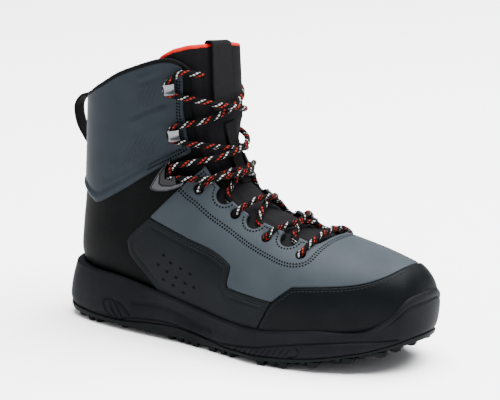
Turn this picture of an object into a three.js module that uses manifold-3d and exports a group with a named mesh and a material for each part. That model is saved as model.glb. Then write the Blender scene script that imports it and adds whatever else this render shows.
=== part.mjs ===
// A laced wading boot for the right foot, as its separate pieces.
// Millimetres, +Z up, the toe points along +X and the outer side of the foot faces -Y.
import * as THREE from "three";
import { mergeVertices } from "three/addons/utils/BufferGeometryUtils.js";
import Module from "manifold-3d";

const wasm = await Module();
wasm.setup();

// Driving sizes of the boot
const SOLE_LENGTH = 315;
const BALL_WIDTH = 120;
const INSTEP_HEIGHT = 120;
const COLLAR_HEIGHT = 224;

// Wall and layer thicknesses
const WALL = 2.2;
const PANEL = 1.3;
const RAND = 1.8;
const GAP = 0.3;
const TONGUE_THICK = 5;
const BINDING_HEIGHT = 2.2;
const BINDING_PROUD = 1.4;

// Sole
const LUG_DEPTH = 4.6;
const PLATE = 3.6;
const TOE_SPRING = 20;
const HEEL_BEVEL = 4;
const LIP = 2.6;
const INSOLE_THICK = 5;
const LASTING_MARGIN = 13;
const PETAL_TURN = 1.4;
const PETAL_RADIUS = 8.4;
const RING_RADIUS = 7.6;
const RING_GROOVE = 1.2;
const TAG_LENGTH = 42;
const TAG_WIDTH = 12;
const TAG_THICK = 3;
const TAG_TURN = 45;
const TAG_ALONG = 0.415;
const TAG_ACROSS = -0.07;

// Laces, eyelets and hooks
const LACE_RADIUS = 2.2;
const EYELET_RADIUS = 2.9;
const SCALLOP_RADIUS = 5.2;
const HOOK_METAL = 1.4;
const HOOK_SEAT = 0.8;
const HOOK_WIDTH = 9;
const HOOK_REACH = 8;
const HOOK_HEIGHT = 7.6;
const LOCK_WIDTH = 11;
const LOCK_REACH = 13;

// Straps
const PULL_WIDTH = 19;
const PULL_THICK = 2;
const PULL_REACH = 12.5;
const STRAP_WIDTH = 27;
const STRAP_THICK = 1.4;

// Mesh fineness
const RING_POINTS = 20;
const OUTLINE_STEPS = 20;
const TUBE_SIDES = 5;
const LACE_STEPS = 6;

// Heights are given as `up`: 0 is the floor, 1 the instep and 2 the highest point of the collar.
const rise = (up) =>
  up <= 1 ? up * INSTEP_HEIGHT : INSTEP_HEIGHT + (up - 1) * (COLLAR_HEIGHT - INSTEP_HEIGHT);

// A row of a table as an object with the names of the table's first row.
const named = (row, i, [names]) => Object.fromEntries(names.map((name, k) => [name, row[k]]));

// Sections of the last, from the toe back to the top of the shaft. Each lies in a plane that runs
// from its crest, on the instep or shin, to its base, under the foot or up the heel.
// along is a share of the sole length, lateral and medial are shares of the ball width, wide is
// where the section is widest from base to crest, and flat and round square off its two ends.
const LAST = [
  ["crestAlong", "crestUp", "baseAlong", "baseUp", "lateral", "medial", "wide", "flat", "round"],
  [0.989, 0.45, 0.989, 0.34, -0.02, 0.11, 0.5, 2.0, 2.0],
  [0.983, 0.52, 0.984, 0.31, 0.08, 0.225, 0.45, 2.4, 2.2],
  [0.967, 0.59, 0.97, 0.287, 0.145, 0.29, 0.4, 3.0, 2.3],
  [0.937, 0.64, 0.94, 0.275, 0.205, 0.34, 0.35, 3.6, 2.4],
  [0.89, 0.67, 0.892, 0.25, 0.275, 0.395, 0.32, 4.0, 2.4],
  [0.825, 0.705, 0.825, 0.217, 0.36, 0.46, 0.3, 4.5, 2.3],
  [0.756, 0.746, 0.746, 0.188, 0.42, 0.483, 0.28, 5.0, 2.2],
  [0.683, 0.792, 0.66, 0.167, 0.445, 0.463, 0.28, 5.0, 2.1],
  [0.613, 0.85, 0.571, 0.167, 0.43, 0.42, 0.3, 5.0, 2.0],
  [0.546, 0.93, 0.476, 0.183, 0.4, 0.383, 0.32, 4.5, 1.95],
  [0.498, 1.04, 0.375, 0.204, 0.38, 0.362, 0.34, 4.0, 1.95],
  [0.47, 1.19, 0.267, 0.225, 0.362, 0.346, 0.36, 3.6, 2.0],
  [0.459, 1.345, 0.159, 0.242, 0.35, 0.333, 0.38, 3.2, 2.1],
  [0.454, 1.48, 0.07, 0.267, 0.338, 0.321, 0.42, 2.8, 2.2],
  [0.451, 1.587, 0.025, 0.367, 0.33, 0.317, 0.46, 2.5, 2.3],
  [0.448, 1.683, 0.021, 0.55, 0.325, 0.317, 0.48, 2.3, 2.4],
  [0.444, 1.77, 0.029, 0.767, 0.33, 0.32, 0.5, 2.2, 2.4],
  [0.441, 1.856, 0.038, 1.0, 0.338, 0.33, 0.5, 2.2, 2.4],
  [0.438, 1.952, 0.044, 1.27, 0.346, 0.338, 0.5, 2.2, 2.4],
  [0.435, 2.058, 0.049, 1.5, 0.354, 0.346, 0.5, 2.2, 2.4],
  [0.432, 2.17, 0.054, 1.69, 0.358, 0.35, 0.5, 2.2, 2.4],
  [0.429, 2.27, 0.057, 1.846, 0.362, 0.354, 0.5, 2.2, 2.4],
].map(named);
LAST.shift();
const LAST_END = LAST.length - 1;
const RING_STATIONS = [0, 0.6, 1.3, 2.4, 4, 6, 8, 9.6, 11.2, 12.4, 13.3, 14.2, 15.8, 18, LAST_END];

// The sole's outline. at runs from the heel, 0, to the toe, 1, and is spread closer at both ends;
// lateral and medial are shares of the ball width, tuck draws the tread in under the arch, and
// edge is the height of the midsole's upper edge.
const OUTLINE = [
  { at: 0.0, lateral: 0.035, medial: -0.035, tuck: 0, edge: 0.37 },
  { at: 0.1, lateral: 0.242, medial: 0.172, tuck: 0, edge: 0.36 },
  { at: 0.2, lateral: 0.338, medial: 0.282, tuck: 0, edge: 0.35 },
  { at: 0.3, lateral: 0.383, medial: 0.335, tuck: 0.01, edge: 0.345 },
  { at: 0.4, lateral: 0.397, medial: 0.327, tuck: 0.045, edge: 0.3 },
  { at: 0.45, lateral: 0.404, medial: 0.33, tuck: 0.05, edge: 0.27 },
  { at: 0.5, lateral: 0.428, medial: 0.365, tuck: 0.03, edge: 0.24 },
  { at: 0.55, lateral: 0.467, medial: 0.438, tuck: 0.01, edge: 0.222 },
  { at: 0.6, lateral: 0.488, medial: 0.503, tuck: 0, edge: 0.222 },
  { at: 0.7, lateral: 0.43, medial: 0.51, tuck: 0, edge: 0.272 },
  { at: 0.8, lateral: 0.3, medial: 0.408, tuck: 0, edge: 0.275 },
  { at: 0.86, lateral: 0.205, medial: 0.34, tuck: 0, edge: 0.3 },
  { at: 0.92, lateral: 0.105, medial: 0.235, tuck: 0, edge: 0.41 },
  { at: 1.0, lateral: -0.058, medial: 0.058, tuck: 0, edge: 0.44 },
];

// The midsole's sidewall from its lower edge to its upper one: share of its height, and how far
// it stands out from the outline.
const SIDEWALL = [
  { share: 0.0, out: -0.6 },
  { share: 0.16, out: 1.0 },
  { share: 0.3, out: 0.9 },
  { share: 0.34, out: -0.2 },
  { share: 0.4, out: 0.2 },
  { share: 0.72, out: -1.6 },
  { share: 1.0, out: -4.4 },
];

// Outlines of the overlays, seen from the side: along is a share of the sole length.
const COLLAR_LINE = [
  { along: -0.05, up: 1.53 },
  { along: 0.06, up: 1.55 },
  { along: 0.21, up: 1.795 },
  { along: 0.27, up: 1.88 },
  { along: 0.32, up: 1.955 },
  { along: 0.36, up: 1.98 },
  { along: 0.392, up: 1.96 },
  { along: 0.416, up: 1.87 },
  { along: 0.43, up: 1.74 },
  { along: 0.46, up: 1.66 },
];
const SHAFT_EDGE = [
  { along: -0.05, up: 0.9 },
  { along: 0.035, up: 0.89 },
  { along: 0.105, up: 0.82 },
  { along: 0.13, up: 0.81 },
  { along: 0.2, up: 0.91 },
  { along: 0.305, up: 1.1 },
  { along: 0.395, up: 1.275 },
  { along: 0.405, up: 1.5 },
  { along: 0.395, up: 1.72 },
  { along: 0.4, up: 1.9 },
  { along: 0.38, up: 2.2 },
];
const VAMP_EDGE = [
  { along: 0.425, up: 1.15 },
  { along: 0.387, up: 1.03 },
  { along: 0.3, up: 0.785 },
  { along: 0.41, up: 0.7 },
  { along: 0.49, up: 0.65 },
  { along: 0.543, up: 0.59 },
  { along: 0.553, up: 0.56 },
  { along: 0.551, up: 0.46 },
  { along: 0.576, up: 0.438 },
  { along: 0.686, up: 0.415 },
  { along: 0.728, up: 0.505 },
  { along: 0.745, up: 0.522 },
  { along: 0.855, up: 0.55 },
  { along: 0.908, up: 0.58 },
  { along: 0.945, up: 0.635 },
  { along: 0.96, up: 0.75 },
];
const SIDE_PANEL_REAR = [
  { along: 0.29, up: 0.78 },
  { along: 0.24, up: 0.63 },
  { along: 0.235, up: 0.6 },
  { along: 0.245, up: 0.5 },
  { along: 0.3, up: 0.38 },
  { along: 0.36, up: 0.2 },
];
const RAND_SEAM = [
  { along: 0.686, up: 0.415 },
  { along: 0.64, up: 0.15 },
];

// Half the throat's gap along the stations of the last, as a share of the ball width.
const THROAT = [
  { station: 6.12, gap: 0.07 },
  { station: 6.2, gap: 0.125 },
  { station: 6.45, gap: 0.15 },
  { station: 8, gap: 0.155 },
  { station: 10, gap: 0.17 },
  { station: 12, gap: 0.2 },
  { station: 14, gap: 0.22 },
  { station: 16, gap: 0.235 },
  { station: 18, gap: 0.24 },
  { station: 21, gap: 0.24 },
];
const THROAT_START = THROAT[0].station;

// Places of the lacing in the side view, from the toe upwards; the scallops are stations on the
// throat's edge.
const EYELETS = [
  { along: 0.726, up: 0.655 },
  { along: 0.62, up: 0.755 },
  { along: 0.522, up: 0.865 },
  { along: 0.4216, up: 1.0 },
];
const SCALLOPS = [7.3, 8.65, 10.25];
const SPEED_HOOKS = [
  { along: 0.354, up: 1.404 },
  { along: 0.34, up: 1.75 },
];
const LOCK_HOOK = { along: 0.325, up: 1.077 };

// Main tread rows from the toe to the heel: places across the sole as shares of the ball width,
// the medial side positive, for lugs of three petals and for sunk ring pads.
const TREAD = [
  { along: 0.931, petals: [0.32, 0.16, -0.03, -0.2], rings: [] },
  { along: 0.866, petals: [0.35, 0.12, -0.09, -0.31], rings: [] },
  { along: 0.832, petals: [], rings: [0.27, -0.26] },
  { along: 0.785, petals: [0.39, 0.21, -0.18, -0.38], rings: [] },
  { along: 0.768, petals: [], rings: [-0.01] },
  { along: 0.711, petals: [0.36, 0.16, -0.045, -0.24, -0.45], rings: [] },
  { along: 0.662, petals: [0.43], rings: [0.28, -0.37] },
  { along: 0.634, petals: [0.05, -0.15], rings: [] },
  { along: 0.615, petals: [-0.345], rings: [] },
  { along: 0.585, petals: [0.41], rings: [-0.095] },
  { along: 0.557, petals: [0.22, 0.025, -0.2, -0.4], rings: [] },
  { along: 0.506, petals: [], rings: [0.1, -0.31] },
  { along: 0.488, petals: [0.25, -0.1], rings: [] },
  { along: 0.449, petals: [-0.25], rings: [] },
  { along: 0.414, petals: [0.215, 0.04, -0.345], rings: [] },
  { along: 0.34, petals: [0.13, -0.06, -0.235], rings: [] },
  { along: 0.272, petals: [0.27, 0.075, -0.1, -0.28], rings: [] },
  { along: 0.215, petals: [-0.02], rings: [0.125, -0.18] },
  { along: 0.17, petals: [0.21], rings: [] },
  { along: 0.144, petals: [], rings: [-0.01] },
  { along: 0.122, petals: [-0.29, 0.13, -0.12], rings: [] },
  { along: 0.065, petals: [0.02, 0.16], rings: [-0.14] },
];

// Colours as seen on the boot
const BLACK_UPPER = new THREE.MeshStandardMaterial({ color: 0x16181b, roughness: 0.75 });
const SLATE = new THREE.MeshStandardMaterial({ color: 0x49525a, roughness: 0.55 });
const BLACK_PANEL = new THREE.MeshStandardMaterial({ color: 0x1b2023, roughness: 0.7 });
const MIDSOLE_GREY = new THREE.MeshStandardMaterial({ color: 0x2b2c2e, roughness: 0.8 });
const TREAD_RUBBER = new THREE.MeshStandardMaterial({ color: 0x26292b, roughness: 0.65 });
const WEBBING = new THREE.MeshStandardMaterial({ color: 0x111214, roughness: 0.9 });
const TONGUE_CLOTH = new THREE.MeshStandardMaterial({ color: 0x1c1b1e, roughness: 0.95 });
const RED = new THREE.MeshStandardMaterial({ color: 0xe03a34, roughness: 0.85 });
const GUNMETAL = new THREE.MeshStandardMaterial({ color: 0x8a8a8c, roughness: 0.3, metalness: 1 });
const CORD = new THREE.MeshStandardMaterial({ color: 0x2a1f1e, roughness: 0.9 });
const FOOTBED = new THREE.MeshStandardMaterial({ color: 0x2c2c2e, roughness: 0.95 });

const boot = new THREE.Group();

// Value of a column between the rows of a table, on a smooth curve through them.
function between(table, key, column, at) {
  const place = (i) => (key ? table[i][key] : i);
  const last = table.length - 1;
  let i = 0;
  while (i < last - 1 && at > place(i + 1)) i += 1;
  const slope = (j) => {
    const a = Math.max(0, j - 1);
    const b = Math.min(last, j + 1);
    return (table[b][column] - table[a][column]) / (place(b) - place(a));
  };
  const width = place(i + 1) - place(i);
  const t = (at - place(i)) / width;
  const s = 1 - t;
  return (
    table[i][column] * s * s * (1 + 2 * t) +
    table[i + 1][column] * t * t * (3 - 2 * t) +
    slope(i) * width * s * s * t -
    slope(i + 1) * width * t * t * s
  );
}

// The last's section at a station, with its frame in millimetres.
function section(station) {
  const value = (column) => between(LAST, null, column, station);
  const base = new THREE.Vector3(value("baseAlong") * SOLE_LENGTH, 0, rise(value("baseUp")));
  const crest = new THREE.Vector3(value("crestAlong") * SOLE_LENGTH, 0, rise(value("crestUp")));
  const lateral = value("lateral") * BALL_WIDTH;
  const medial = value("medial") * BALL_WIDTH;
  return {
    base,
    crest,
    centre: (medial - lateral) / 2,
    half: (medial + lateral) / 2,
    wide: value("wide"),
    flat: value("flat"),
    round: value("round"),
  };
}

// A point of a section: angle 0 is the crest, a quarter turn the medial side, a half turn the base.
function sectionPoint(cut, angle) {
  const c = Math.cos(angle);
  const s = Math.sin(angle);
  const power = 2 / (c >= 0 ? cut.round : cut.flat);
  const reach = (c >= 0 ? 1 - cut.wide : -cut.wide) * Math.abs(c) ** power;
  const point = cut.base.clone().lerp(cut.crest, cut.wide + reach);
  point.y = cut.centre + cut.half * Math.sign(s) * Math.abs(s) ** power;
  return point;
}

// The outward direction of the last's surface.
function lastNormal(station, angle) {
  const step = 0.02;
  const low = Math.max(0, station - step);
  const high = Math.min(LAST_END, station + step);
  const along = sectionPoint(section(high), angle).sub(sectionPoint(section(low), angle));
  const cut = section(station);
  const around = sectionPoint(cut, angle + step).sub(sectionPoint(cut, angle - step));
  return around.cross(along).normalize();
}

function lastPoint(station, angle, offset = 0) {
  return sectionPoint(section(station), angle).addScaledVector(lastNormal(station, angle), offset);
}

// The angle at which a section's front has a given place across the boot, in millimetres.
function frontAngle(station, across) {
  const cut = section(station);
  const share = THREE.MathUtils.clamp((across - cut.centre) / cut.half, -1, 1);
  return Math.sign(share) * Math.asin(Math.abs(share) ** (cut.round / 2));
}

// The station and angle of the surface point that a side view shows at a place of the boot.
function sideSpot(row, side) {
  const x = row.along * SOLE_LENGTH;
  const z = rise(row.up);
  const past = (station) => {
    const { base, crest } = section(station);
    return (x - base.x) * (crest.z - base.z) - (z - base.z) * (crest.x - base.x);
  };
  let low = 0.5;
  let high = LAST_END;
  for (let i = 0; i < 40; i += 1) {
    const middle = (low + high) / 2;
    if (past(middle) < 0) low = middle;
    else high = middle;
  }
  const { base, crest, wide, round, flat } = section(low);
  const run = new THREE.Vector2(crest.x - base.x, crest.z - base.z);
  const share = new THREE.Vector2(x - base.x, z - base.z).dot(run) / run.lengthSq();
  const reach = share >= wide ? (share - wide) / (1 - wide) : (share - wide) / wide;
  const power = (share >= wide ? round : flat) / 2;
  const cosine = Math.sign(reach) * Math.min(1, Math.abs(reach)) ** power;
  return { station: low, angle: side * Math.acos(cosine) };
}

const frontPoint = (station, across, offset) =>
  lastPoint(station, frontAngle(station, across), offset);

// Closed meshes and solids
function closedGeometry(points, faces) {
  const raw = new THREE.BufferGeometry();
  raw.setAttribute("position", new THREE.Float32BufferAttribute(points.flatMap((p) => [p.x, p.y, p.z]), 3));
  raw.setIndex(faces.flat());
  return raw;
}

function solid(geometry) {
  const bare = geometry.clone();
  bare.deleteAttribute("normal");
  bare.deleteAttribute("uv");
  const merged = mergeVertices(bare, 1e-4);
  const index = merged.index.array;
  const kept = [];
  for (let i = 0; i < index.length; i += 3) {
    const [a, b, c] = index.slice(i, i + 3);
    if (a !== b && b !== c && c !== a) kept.push(a, b, c);
  }
  const build = (triangles) =>
    new wasm.Manifold(
      new wasm.Mesh({
        numProp: 3,
        vertProperties: new Float32Array(merged.attributes.position.array),
        triVerts: new Uint32Array(triangles),
      }),
    );
  const made = build(kept);
  if (made.volume() > 0) return made;
  for (let i = 0; i < kept.length; i += 3) [kept[i], kept[i + 1]] = [kept[i + 1], kept[i]];
  return build(kept);
}

function addPiece(name, form, material, place = null) {
  const data = form.getMesh();
  const geometry = new THREE.BufferGeometry();
  const stride = data.numProp;
  const position = new Float32Array(data.numVert * 3);
  for (let i = 0; i < data.numVert; i += 1) {
    position.set(data.vertProperties.subarray(i * stride, i * stride + 3), i * 3);
  }
  geometry.setAttribute("position", new THREE.BufferAttribute(position, 3));
  geometry.setIndex(new THREE.BufferAttribute(new Uint32Array(data.triVerts), 1));
  geometry.computeVertexNormals();
  const piece = new THREE.Mesh(geometry, material);
  piece.name = name;
  if (place) piece.applyMatrix4(place);
  boot.add(piece);
  return piece;
}

// A solid through rings that have the same number of points, closed by a fan at each end.
function loft(rings) {
  const count = rings[0].length;
  const points = rings.flat();
  const faces = [];
  for (let r = 0; r < rings.length - 1; r += 1) {
    for (let i = 0; i < count; i += 1) {
      const a = r * count + i;
      const b = r * count + ((i + 1) % count);
      faces.push([a, b, a + count], [b, b + count, a + count]);
    }
  }
  for (const [ring, turn] of [[0, true], [rings.length - 1, false]]) {
    const middle = rings[ring].reduce((sum, p) => sum.add(p), new THREE.Vector3());
    points.push(middle.divideScalar(count));
    for (let i = 0; i < count; i += 1) {
      const a = ring * count + i;
      const b = ring * count + ((i + 1) % count);
      faces.push(turn ? [points.length - 1, b, a] : [points.length - 1, a, b]);
    }
  }
  return solid(closedGeometry(points, faces));
}

// The largest body of a form that a cut has left in several.
function largest(form) {
  const bodies = form.decompose();
  bodies.sort((a, b) => b.volume() - a.volume());
  return bodies[0];
}

// The last's body, standing out from its surface by an offset. A small ring closes the nose of the
// toe, which stands forward by the same offset.
function lastBody(offset) {
  const rings = RING_STATIONS.map((station) => {
    const ring = [];
    for (let j = 0; j < RING_POINTS; j += 1) {
      ring.push(lastPoint(station, (2 * Math.PI * j) / RING_POINTS, offset));
    }
    return ring;
  });
  const middle = rings[0].reduce((sum, p) => sum.add(p), new THREE.Vector3()).divideScalar(RING_POINTS);
  rings.unshift(rings[0].map((p) => p.clone().lerp(middle, 0.5).setX(middle.x + offset)));
  return loft(rings);
}

// A shell between two offsets from the last.
const shell = (inner, outer) => lastBody(outer).subtract(lastBody(inner));

const sidePoint = (row) => new THREE.Vector2(row.along * SOLE_LENGTH, rise(row.up));

// A flat outline in the boot's side view, run across the boot from one side to the other.
function sidePrism(points, from = -BALL_WIDTH, to = BALL_WIDTH) {
  const shape = new THREE.Shape(points);
  const geometry = new THREE.ExtrudeGeometry(shape, { depth: to - from, bevelEnabled: false });
  geometry.rotateX(Math.PI / 2);
  geometry.translate(0, to, 0);
  return solid(geometry);
}

// Everything above a line of the side view.
function above(line, lift = 0) {
  const points = line.map(sidePoint).map((p) => new THREE.Vector2(p.x, p.y + lift));
  const top = 2 * COLLAR_HEIGHT;
  points.push(new THREE.Vector2(SOLE_LENGTH, points[points.length - 1].y));
  points.push(new THREE.Vector2(SOLE_LENGTH, top));
  points.push(new THREE.Vector2(points[0].x, top));
  return sidePrism(points);
}

// The wedge of the throat, wider than its gap by a margin on each side.
function throatWedge(margin, from = THROAT_START, to = LAST_END) {
  const rings = [];
  const count = Math.ceil(to - from);
  for (let i = -1; i <= count; i += 1) {
    const station = Math.max(from, from + ((to - from) * i) / count);
    const cut = section(station);
    const opening = between(THROAT, "station", "gap", station) * BALL_WIDTH;
    const half = (i < 0 ? opening * 0.55 : opening) + margin;
    const shift = (i < 0 ? 2.5 : 0) + (i <= 0 ? margin : 0);
    const low = cut.base.clone().lerp(cut.crest, 0.62);
    const high = cut.base.clone().lerp(cut.crest, 1.3);
    const corner = (p, y) => new THREE.Vector3(p.x + shift, cut.centre + y, p.z);
    rings.push([corner(low, -half), corner(high, -half), corner(high, half), corner(low, half)]);
  }
  return loft(rings);
}

// Sole outline
const alongAt = (at) => (SOLE_LENGTH * (1 - Math.cos(Math.PI * at))) / 2;

function outlinePoint(at, side, tread) {
  const column = side < 0 ? "lateral" : "medial";
  const reach = between(OUTLINE, "at", column, at);
  const tuck = tread && side > 0 ? between(OUTLINE, "at", "tuck", at) : 0;
  return new THREE.Vector2(alongAt(at), side * (reach - tuck) * BALL_WIDTH);
}

// The outline moved outwards by an amount along its own normal.
function outlineOut(at, side, out, tread = false) {
  const step = 1e-3;
  const low = outlinePoint(Math.max(0, at - step), side, tread);
  const high = outlinePoint(Math.min(1, at + step), side, tread);
  const run = high.sub(low).normalize();
  const place = outlinePoint(at, side, tread);
  return new THREE.Vector2(place.x - side * run.y * out, place.y + side * run.x * out);
}

// Height of the tread above the floor: a bevel at the heel and the spring of the toe.
function ground(x) {
  const share = x / SOLE_LENGTH;
  const springFrom = 0.66;
  const bevelTo = 0.09;
  if (share > springFrom) return TOE_SPRING * ((share - springFrom) / (1 - springFrom)) ** 1.6;
  if (share < bevelTo) return HEEL_BEVEL * ((bevelTo - share) / bevelTo) ** 2;
  return 0;
}

// A body along the sole, from a function that gives the height and outward step of each level.
function soleBody(levels, tread) {
  const rings = [];
  for (let i = 0; i <= OUTLINE_STEPS; i += 1) {
    const at = i / OUTLINE_STEPS;
    const ring = [];
    for (const side of [-1, 1]) {
      const rows = levels(at);
      if (side > 0) rows.reverse();
      for (const row of rows) {
        const p = outlineOut(at, side, row.out, tread);
        ring.push(new THREE.Vector3(p.x, p.y, row.z(p.x)));
      }
    }
    rings.push(ring);
  }
  return loft(rings);
}

const plateTop = (x) => ground(x) + LUG_DEPTH + PLATE;
const edgeHeight = (at) => rise(between(OUTLINE, "at", "edge", at));

function makeMidsole() {
  const block = soleBody(
    (at) =>
      SIDEWALL.map((row) => ({
        out: row.out,
        z: (x) => THREE.MathUtils.lerp(plateTop(x) + GAP, edgeHeight(at), row.share),
      })),
    false,
  );
  const under = soleBody(
    (at) => [
      { out: 25, z: (x) => plateTop(x) + GAP },
      { out: 25, z: () => edgeHeight(at) },
    ],
    false,
  );
  const cup = lastBody(LIP + RAND).intersect(under);
  return largest(block.add(cup).subtract(lastBody(RAND + 2 * GAP)));
}

// One petal lug: three wedges round a middle point, each with its own peak.
function petalLug(x, y, turn) {
  const wedge = 0.86;
  const parts = [];
  for (let k = 0; k < 3; k += 1) {
    const middle = turn + (k * 2 * Math.PI) / 3;
    const rim = [-wedge, 0, wedge].map(
      (a) => new THREE.Vector2(Math.cos(middle + a), Math.sin(middle + a)).multiplyScalar(PETAL_RADIUS),
    );
    rim.push(new THREE.Vector2(Math.cos(middle), Math.sin(middle)).multiplyScalar(PETAL_RADIUS * 0.14));
    const top = ground(x) + LUG_DEPTH + PLATE / 2;
    const low = ground(x) + LUG_DEPTH * 0.3;
    const peak = new THREE.Vector2(Math.cos(middle), Math.sin(middle)).multiplyScalar(PETAL_RADIUS * 0.5);
    const points = [
      ...rim.map((p) => new THREE.Vector3(x + p.x, y + p.y, top)),
      ...rim.map((p) => new THREE.Vector3(x + p.x * 0.93, y + p.y * 0.93, low)),
      new THREE.Vector3(x + peak.x, y + peak.y, ground(x)),
      new THREE.Vector3(x + peak.x, y + peak.y, top),
    ];
    const faces = [];
    for (let i = 0; i < 4; i += 1) {
      const j = (i + 1) % 4;
      faces.push([i, j, 4 + i], [j, 4 + j, 4 + i], [4 + i, 4 + j, 8], [j, i, 9]);
    }
    parts.push(solid(closedGeometry(points, faces)));
  }
  return parts;
}

// A round pad of the tread with a sunk middle, flat where it meets the floor.
function ringPad(x, y) {
  const floor = ground(x);
  const top = ground(x) + LUG_DEPTH + PLATE / 2;
  const profile = [
    new THREE.Vector2(0, top),
    new THREE.Vector2(RING_RADIUS, top),
    new THREE.Vector2(RING_RADIUS * 0.94, floor),
    new THREE.Vector2(RING_RADIUS * 0.55, floor),
    new THREE.Vector2(0, floor + RING_GROOVE),
  ];
  const geometry = new THREE.LatheGeometry(profile, 8);
  geometry.rotateX(Math.PI / 2);
  geometry.translate(x, y, 0);
  return solid(geometry);
}

function makeOutsole() {
  const plate = soleBody(
    () => [
      { out: -1.6, z: (x) => ground(x) + LUG_DEPTH },
      { out: 0.4, z: (x) => ground(x) + LUG_DEPTH + PLATE * 0.45 },
      { out: -0.4, z: plateTop },
    ],
    true,
  );
  const within = soleBody(
    () => [
      { out: -0.6, z: () => -1 },
      { out: -0.6, z: (x) => ground(x) + LUG_DEPTH + PLATE * 0.6 },
    ],
    true,
  );
  const lugs = [];
  for (const row of TREAD) {
    const x = row.along * SOLE_LENGTH;
    const spots = (column) => row[column].map((across) => across * BALL_WIDTH);
    spots("petals").forEach((y) => lugs.push(...petalLug(x, y, PETAL_TURN)));
    spots("rings").forEach((y) => lugs.push(ringPad(x, y)));
  }
  const tread = wasm.Manifold.union(lugs).intersect(within);
  return largest(plate.add(tread).subtract(tagForm(GAP)));
}

// The plain tag let into the tread under the arch.
function tagForm(clearance) {
  const form = new THREE.BoxGeometry(
    TAG_LENGTH + 2 * clearance,
    TAG_WIDTH + 2 * clearance,
    TAG_THICK + 2 * clearance,
  );
  form.rotateZ(THREE.MathUtils.degToRad(TAG_TURN));
  form.translate(TAG_ALONG * SOLE_LENGTH, TAG_ACROSS * BALL_WIDTH, LUG_DEPTH - 0.8 + TAG_THICK / 2);
  return solid(form);
}

// The opening under the foot, inside the lasting margin.
function lastingCut() {
  return soleBody(
    () => [
      { out: -LASTING_MARGIN - 6, z: () => 0 },
      { out: -LASTING_MARGIN - 6, z: (x) => ground(x) + 45 },
    ],
    true,
  );
}

function throatHoles() {
  const cutters = [];
  for (const side of [-1, 1]) {
    for (const row of EYELETS) cutters.push(boreAt(sideSpot(row, side), EYELET_RADIUS));
    for (const station of SCALLOPS) {
      const edge = between(THROAT, "station", "gap", station) * BALL_WIDTH;
      const angle = frontAngle(station, section(station).centre + side * (edge + 1));
      cutters.push(boreAt({ station, angle }, SCALLOP_RADIUS));
    }
  }
  return wasm.Manifold.union(cutters);
}

// A round bore through the wall at a spot of the last.
function boreAt({ station, angle }, radius) {
  const normal = lastNormal(station, angle);
  const bore = new THREE.CylinderGeometry(radius, radius, 14, 7);
  bore.applyQuaternion(new THREE.Quaternion().setFromUnitVectors(new THREE.Vector3(0, 1, 0), normal));
  const place = lastPoint(station, angle);
  bore.translate(place.x, place.y, place.z);
  return solid(bore);
}

const holes = throatHoles();
const throat = throatWedge(0);
const shaftTop = above(COLLAR_LINE);

function makeUpper() {
  return shell(-WALL, 0).subtract(throat).subtract(shaftTop).subtract(lastingCut()).subtract(holes);
}

// Overlay panels, all cut from one shell that lies on the upper
const skin = shell(GAP, GAP + PANEL);
const thickSkin = shell(GAP, GAP + RAND);

function makeShaftPanel() {
  const points = SHAFT_EDGE.map(sidePoint);
  points.push(new THREE.Vector2(points[0].x, points[points.length - 1].y));
  return skin.intersect(sidePrism(points)).subtract(above(COLLAR_LINE)).subtract(throatWedge(3));
}

function makeVampPanel() {
  const points = VAMP_EDGE.map(sidePoint);
  points.push(new THREE.Vector2(points[points.length - 1].x, COLLAR_HEIGHT));
  points.push(new THREE.Vector2(SOLE_LENGTH * 0.52, COLLAR_HEIGHT * 0.73));
  return largest(skin.intersect(sidePrism(points)).subtract(throatWedge(1)).subtract(holes));
}

function sidePanelPoints() {
  const front = VAMP_EDGE.slice(2, 10).map(sidePoint);
  front.forEach((p) => p.add(new THREE.Vector2(-GAP, -GAP)));
  const seam = sidePoint(RAND_SEAM[1]);
  const rear = SIDE_PANEL_REAR.map(sidePoint).reverse();
  return [...front, new THREE.Vector2(seam.x - GAP, seam.y), ...rear];
}

const aboveMidsole = (lift) =>
  soleBody(
    (at) => [
      { out: 25, z: () => -5 },
      { out: 25, z: () => edgeHeight(at) + lift },
    ],
    false,
  );

const sunk = aboveMidsole(-5);

function makeSidePanel(side) {
  const range = side < 0 ? [-BALL_WIDTH, 0] : [0, BALL_WIDTH];
  return thickSkin.intersect(sidePrism(sidePanelPoints(), ...range)).subtract(sunk);
}

function makeToeRand() {
  const edge = VAMP_EDGE.slice(9).map(sidePoint);
  edge.forEach((p) => p.add(new THREE.Vector2(GAP, -GAP)));
  const seam = sidePoint(RAND_SEAM[1]);
  const points = [
    new THREE.Vector2(seam.x + GAP, seam.y),
    ...edge,
    new THREE.Vector2(SOLE_LENGTH * 1.1, edge[edge.length - 1].y),
    new THREE.Vector2(SOLE_LENGTH * 1.1, seam.y),
  ];
  return thickSkin.intersect(sidePrism(points)).subtract(sunk);
}

function makeBinding() {
  const band = shell(-WALL, BINDING_PROUD);
  const over = above(COLLAR_LINE, GAP);
  return band.intersect(over).subtract(above(COLLAR_LINE, BINDING_HEIGHT)).subtract(throat);
}

function makeInsole() {
  const top = soleBody(
    () => [
      { out: 10, z: () => 0 },
      { out: 10, z: (x) => bedHeight(x) + INSOLE_THICK },
    ],
    false,
  );
  return lastBody(-WALL - GAP).intersect(top);
}

// Height of the last's underside at a place along the sole.
function bedHeight(x) {
  let station = 1;
  while (station < 13 && section(station).base.x > x) station += 0.25;
  return section(station).base.z + WALL;
}

// Tongue
const TONGUE_OUT = -WALL - GAP;
const TONGUE_IN = TONGUE_OUT - TONGUE_THICK;
const TONGUE_TOP = [
  { along: 0.2, up: 1.55 },
  { along: 0.33, up: 1.98 },
  { along: 0.36, up: 2.03 },
  { along: 0.395, up: 2.06 },
  { along: 0.46, up: 2.07 },
];

function makeTongue() {
  const body = shell(TONGUE_IN, TONGUE_OUT).intersect(throatWedge(14, 6.5));
  return body.subtract(above(TONGUE_TOP));
}

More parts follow.
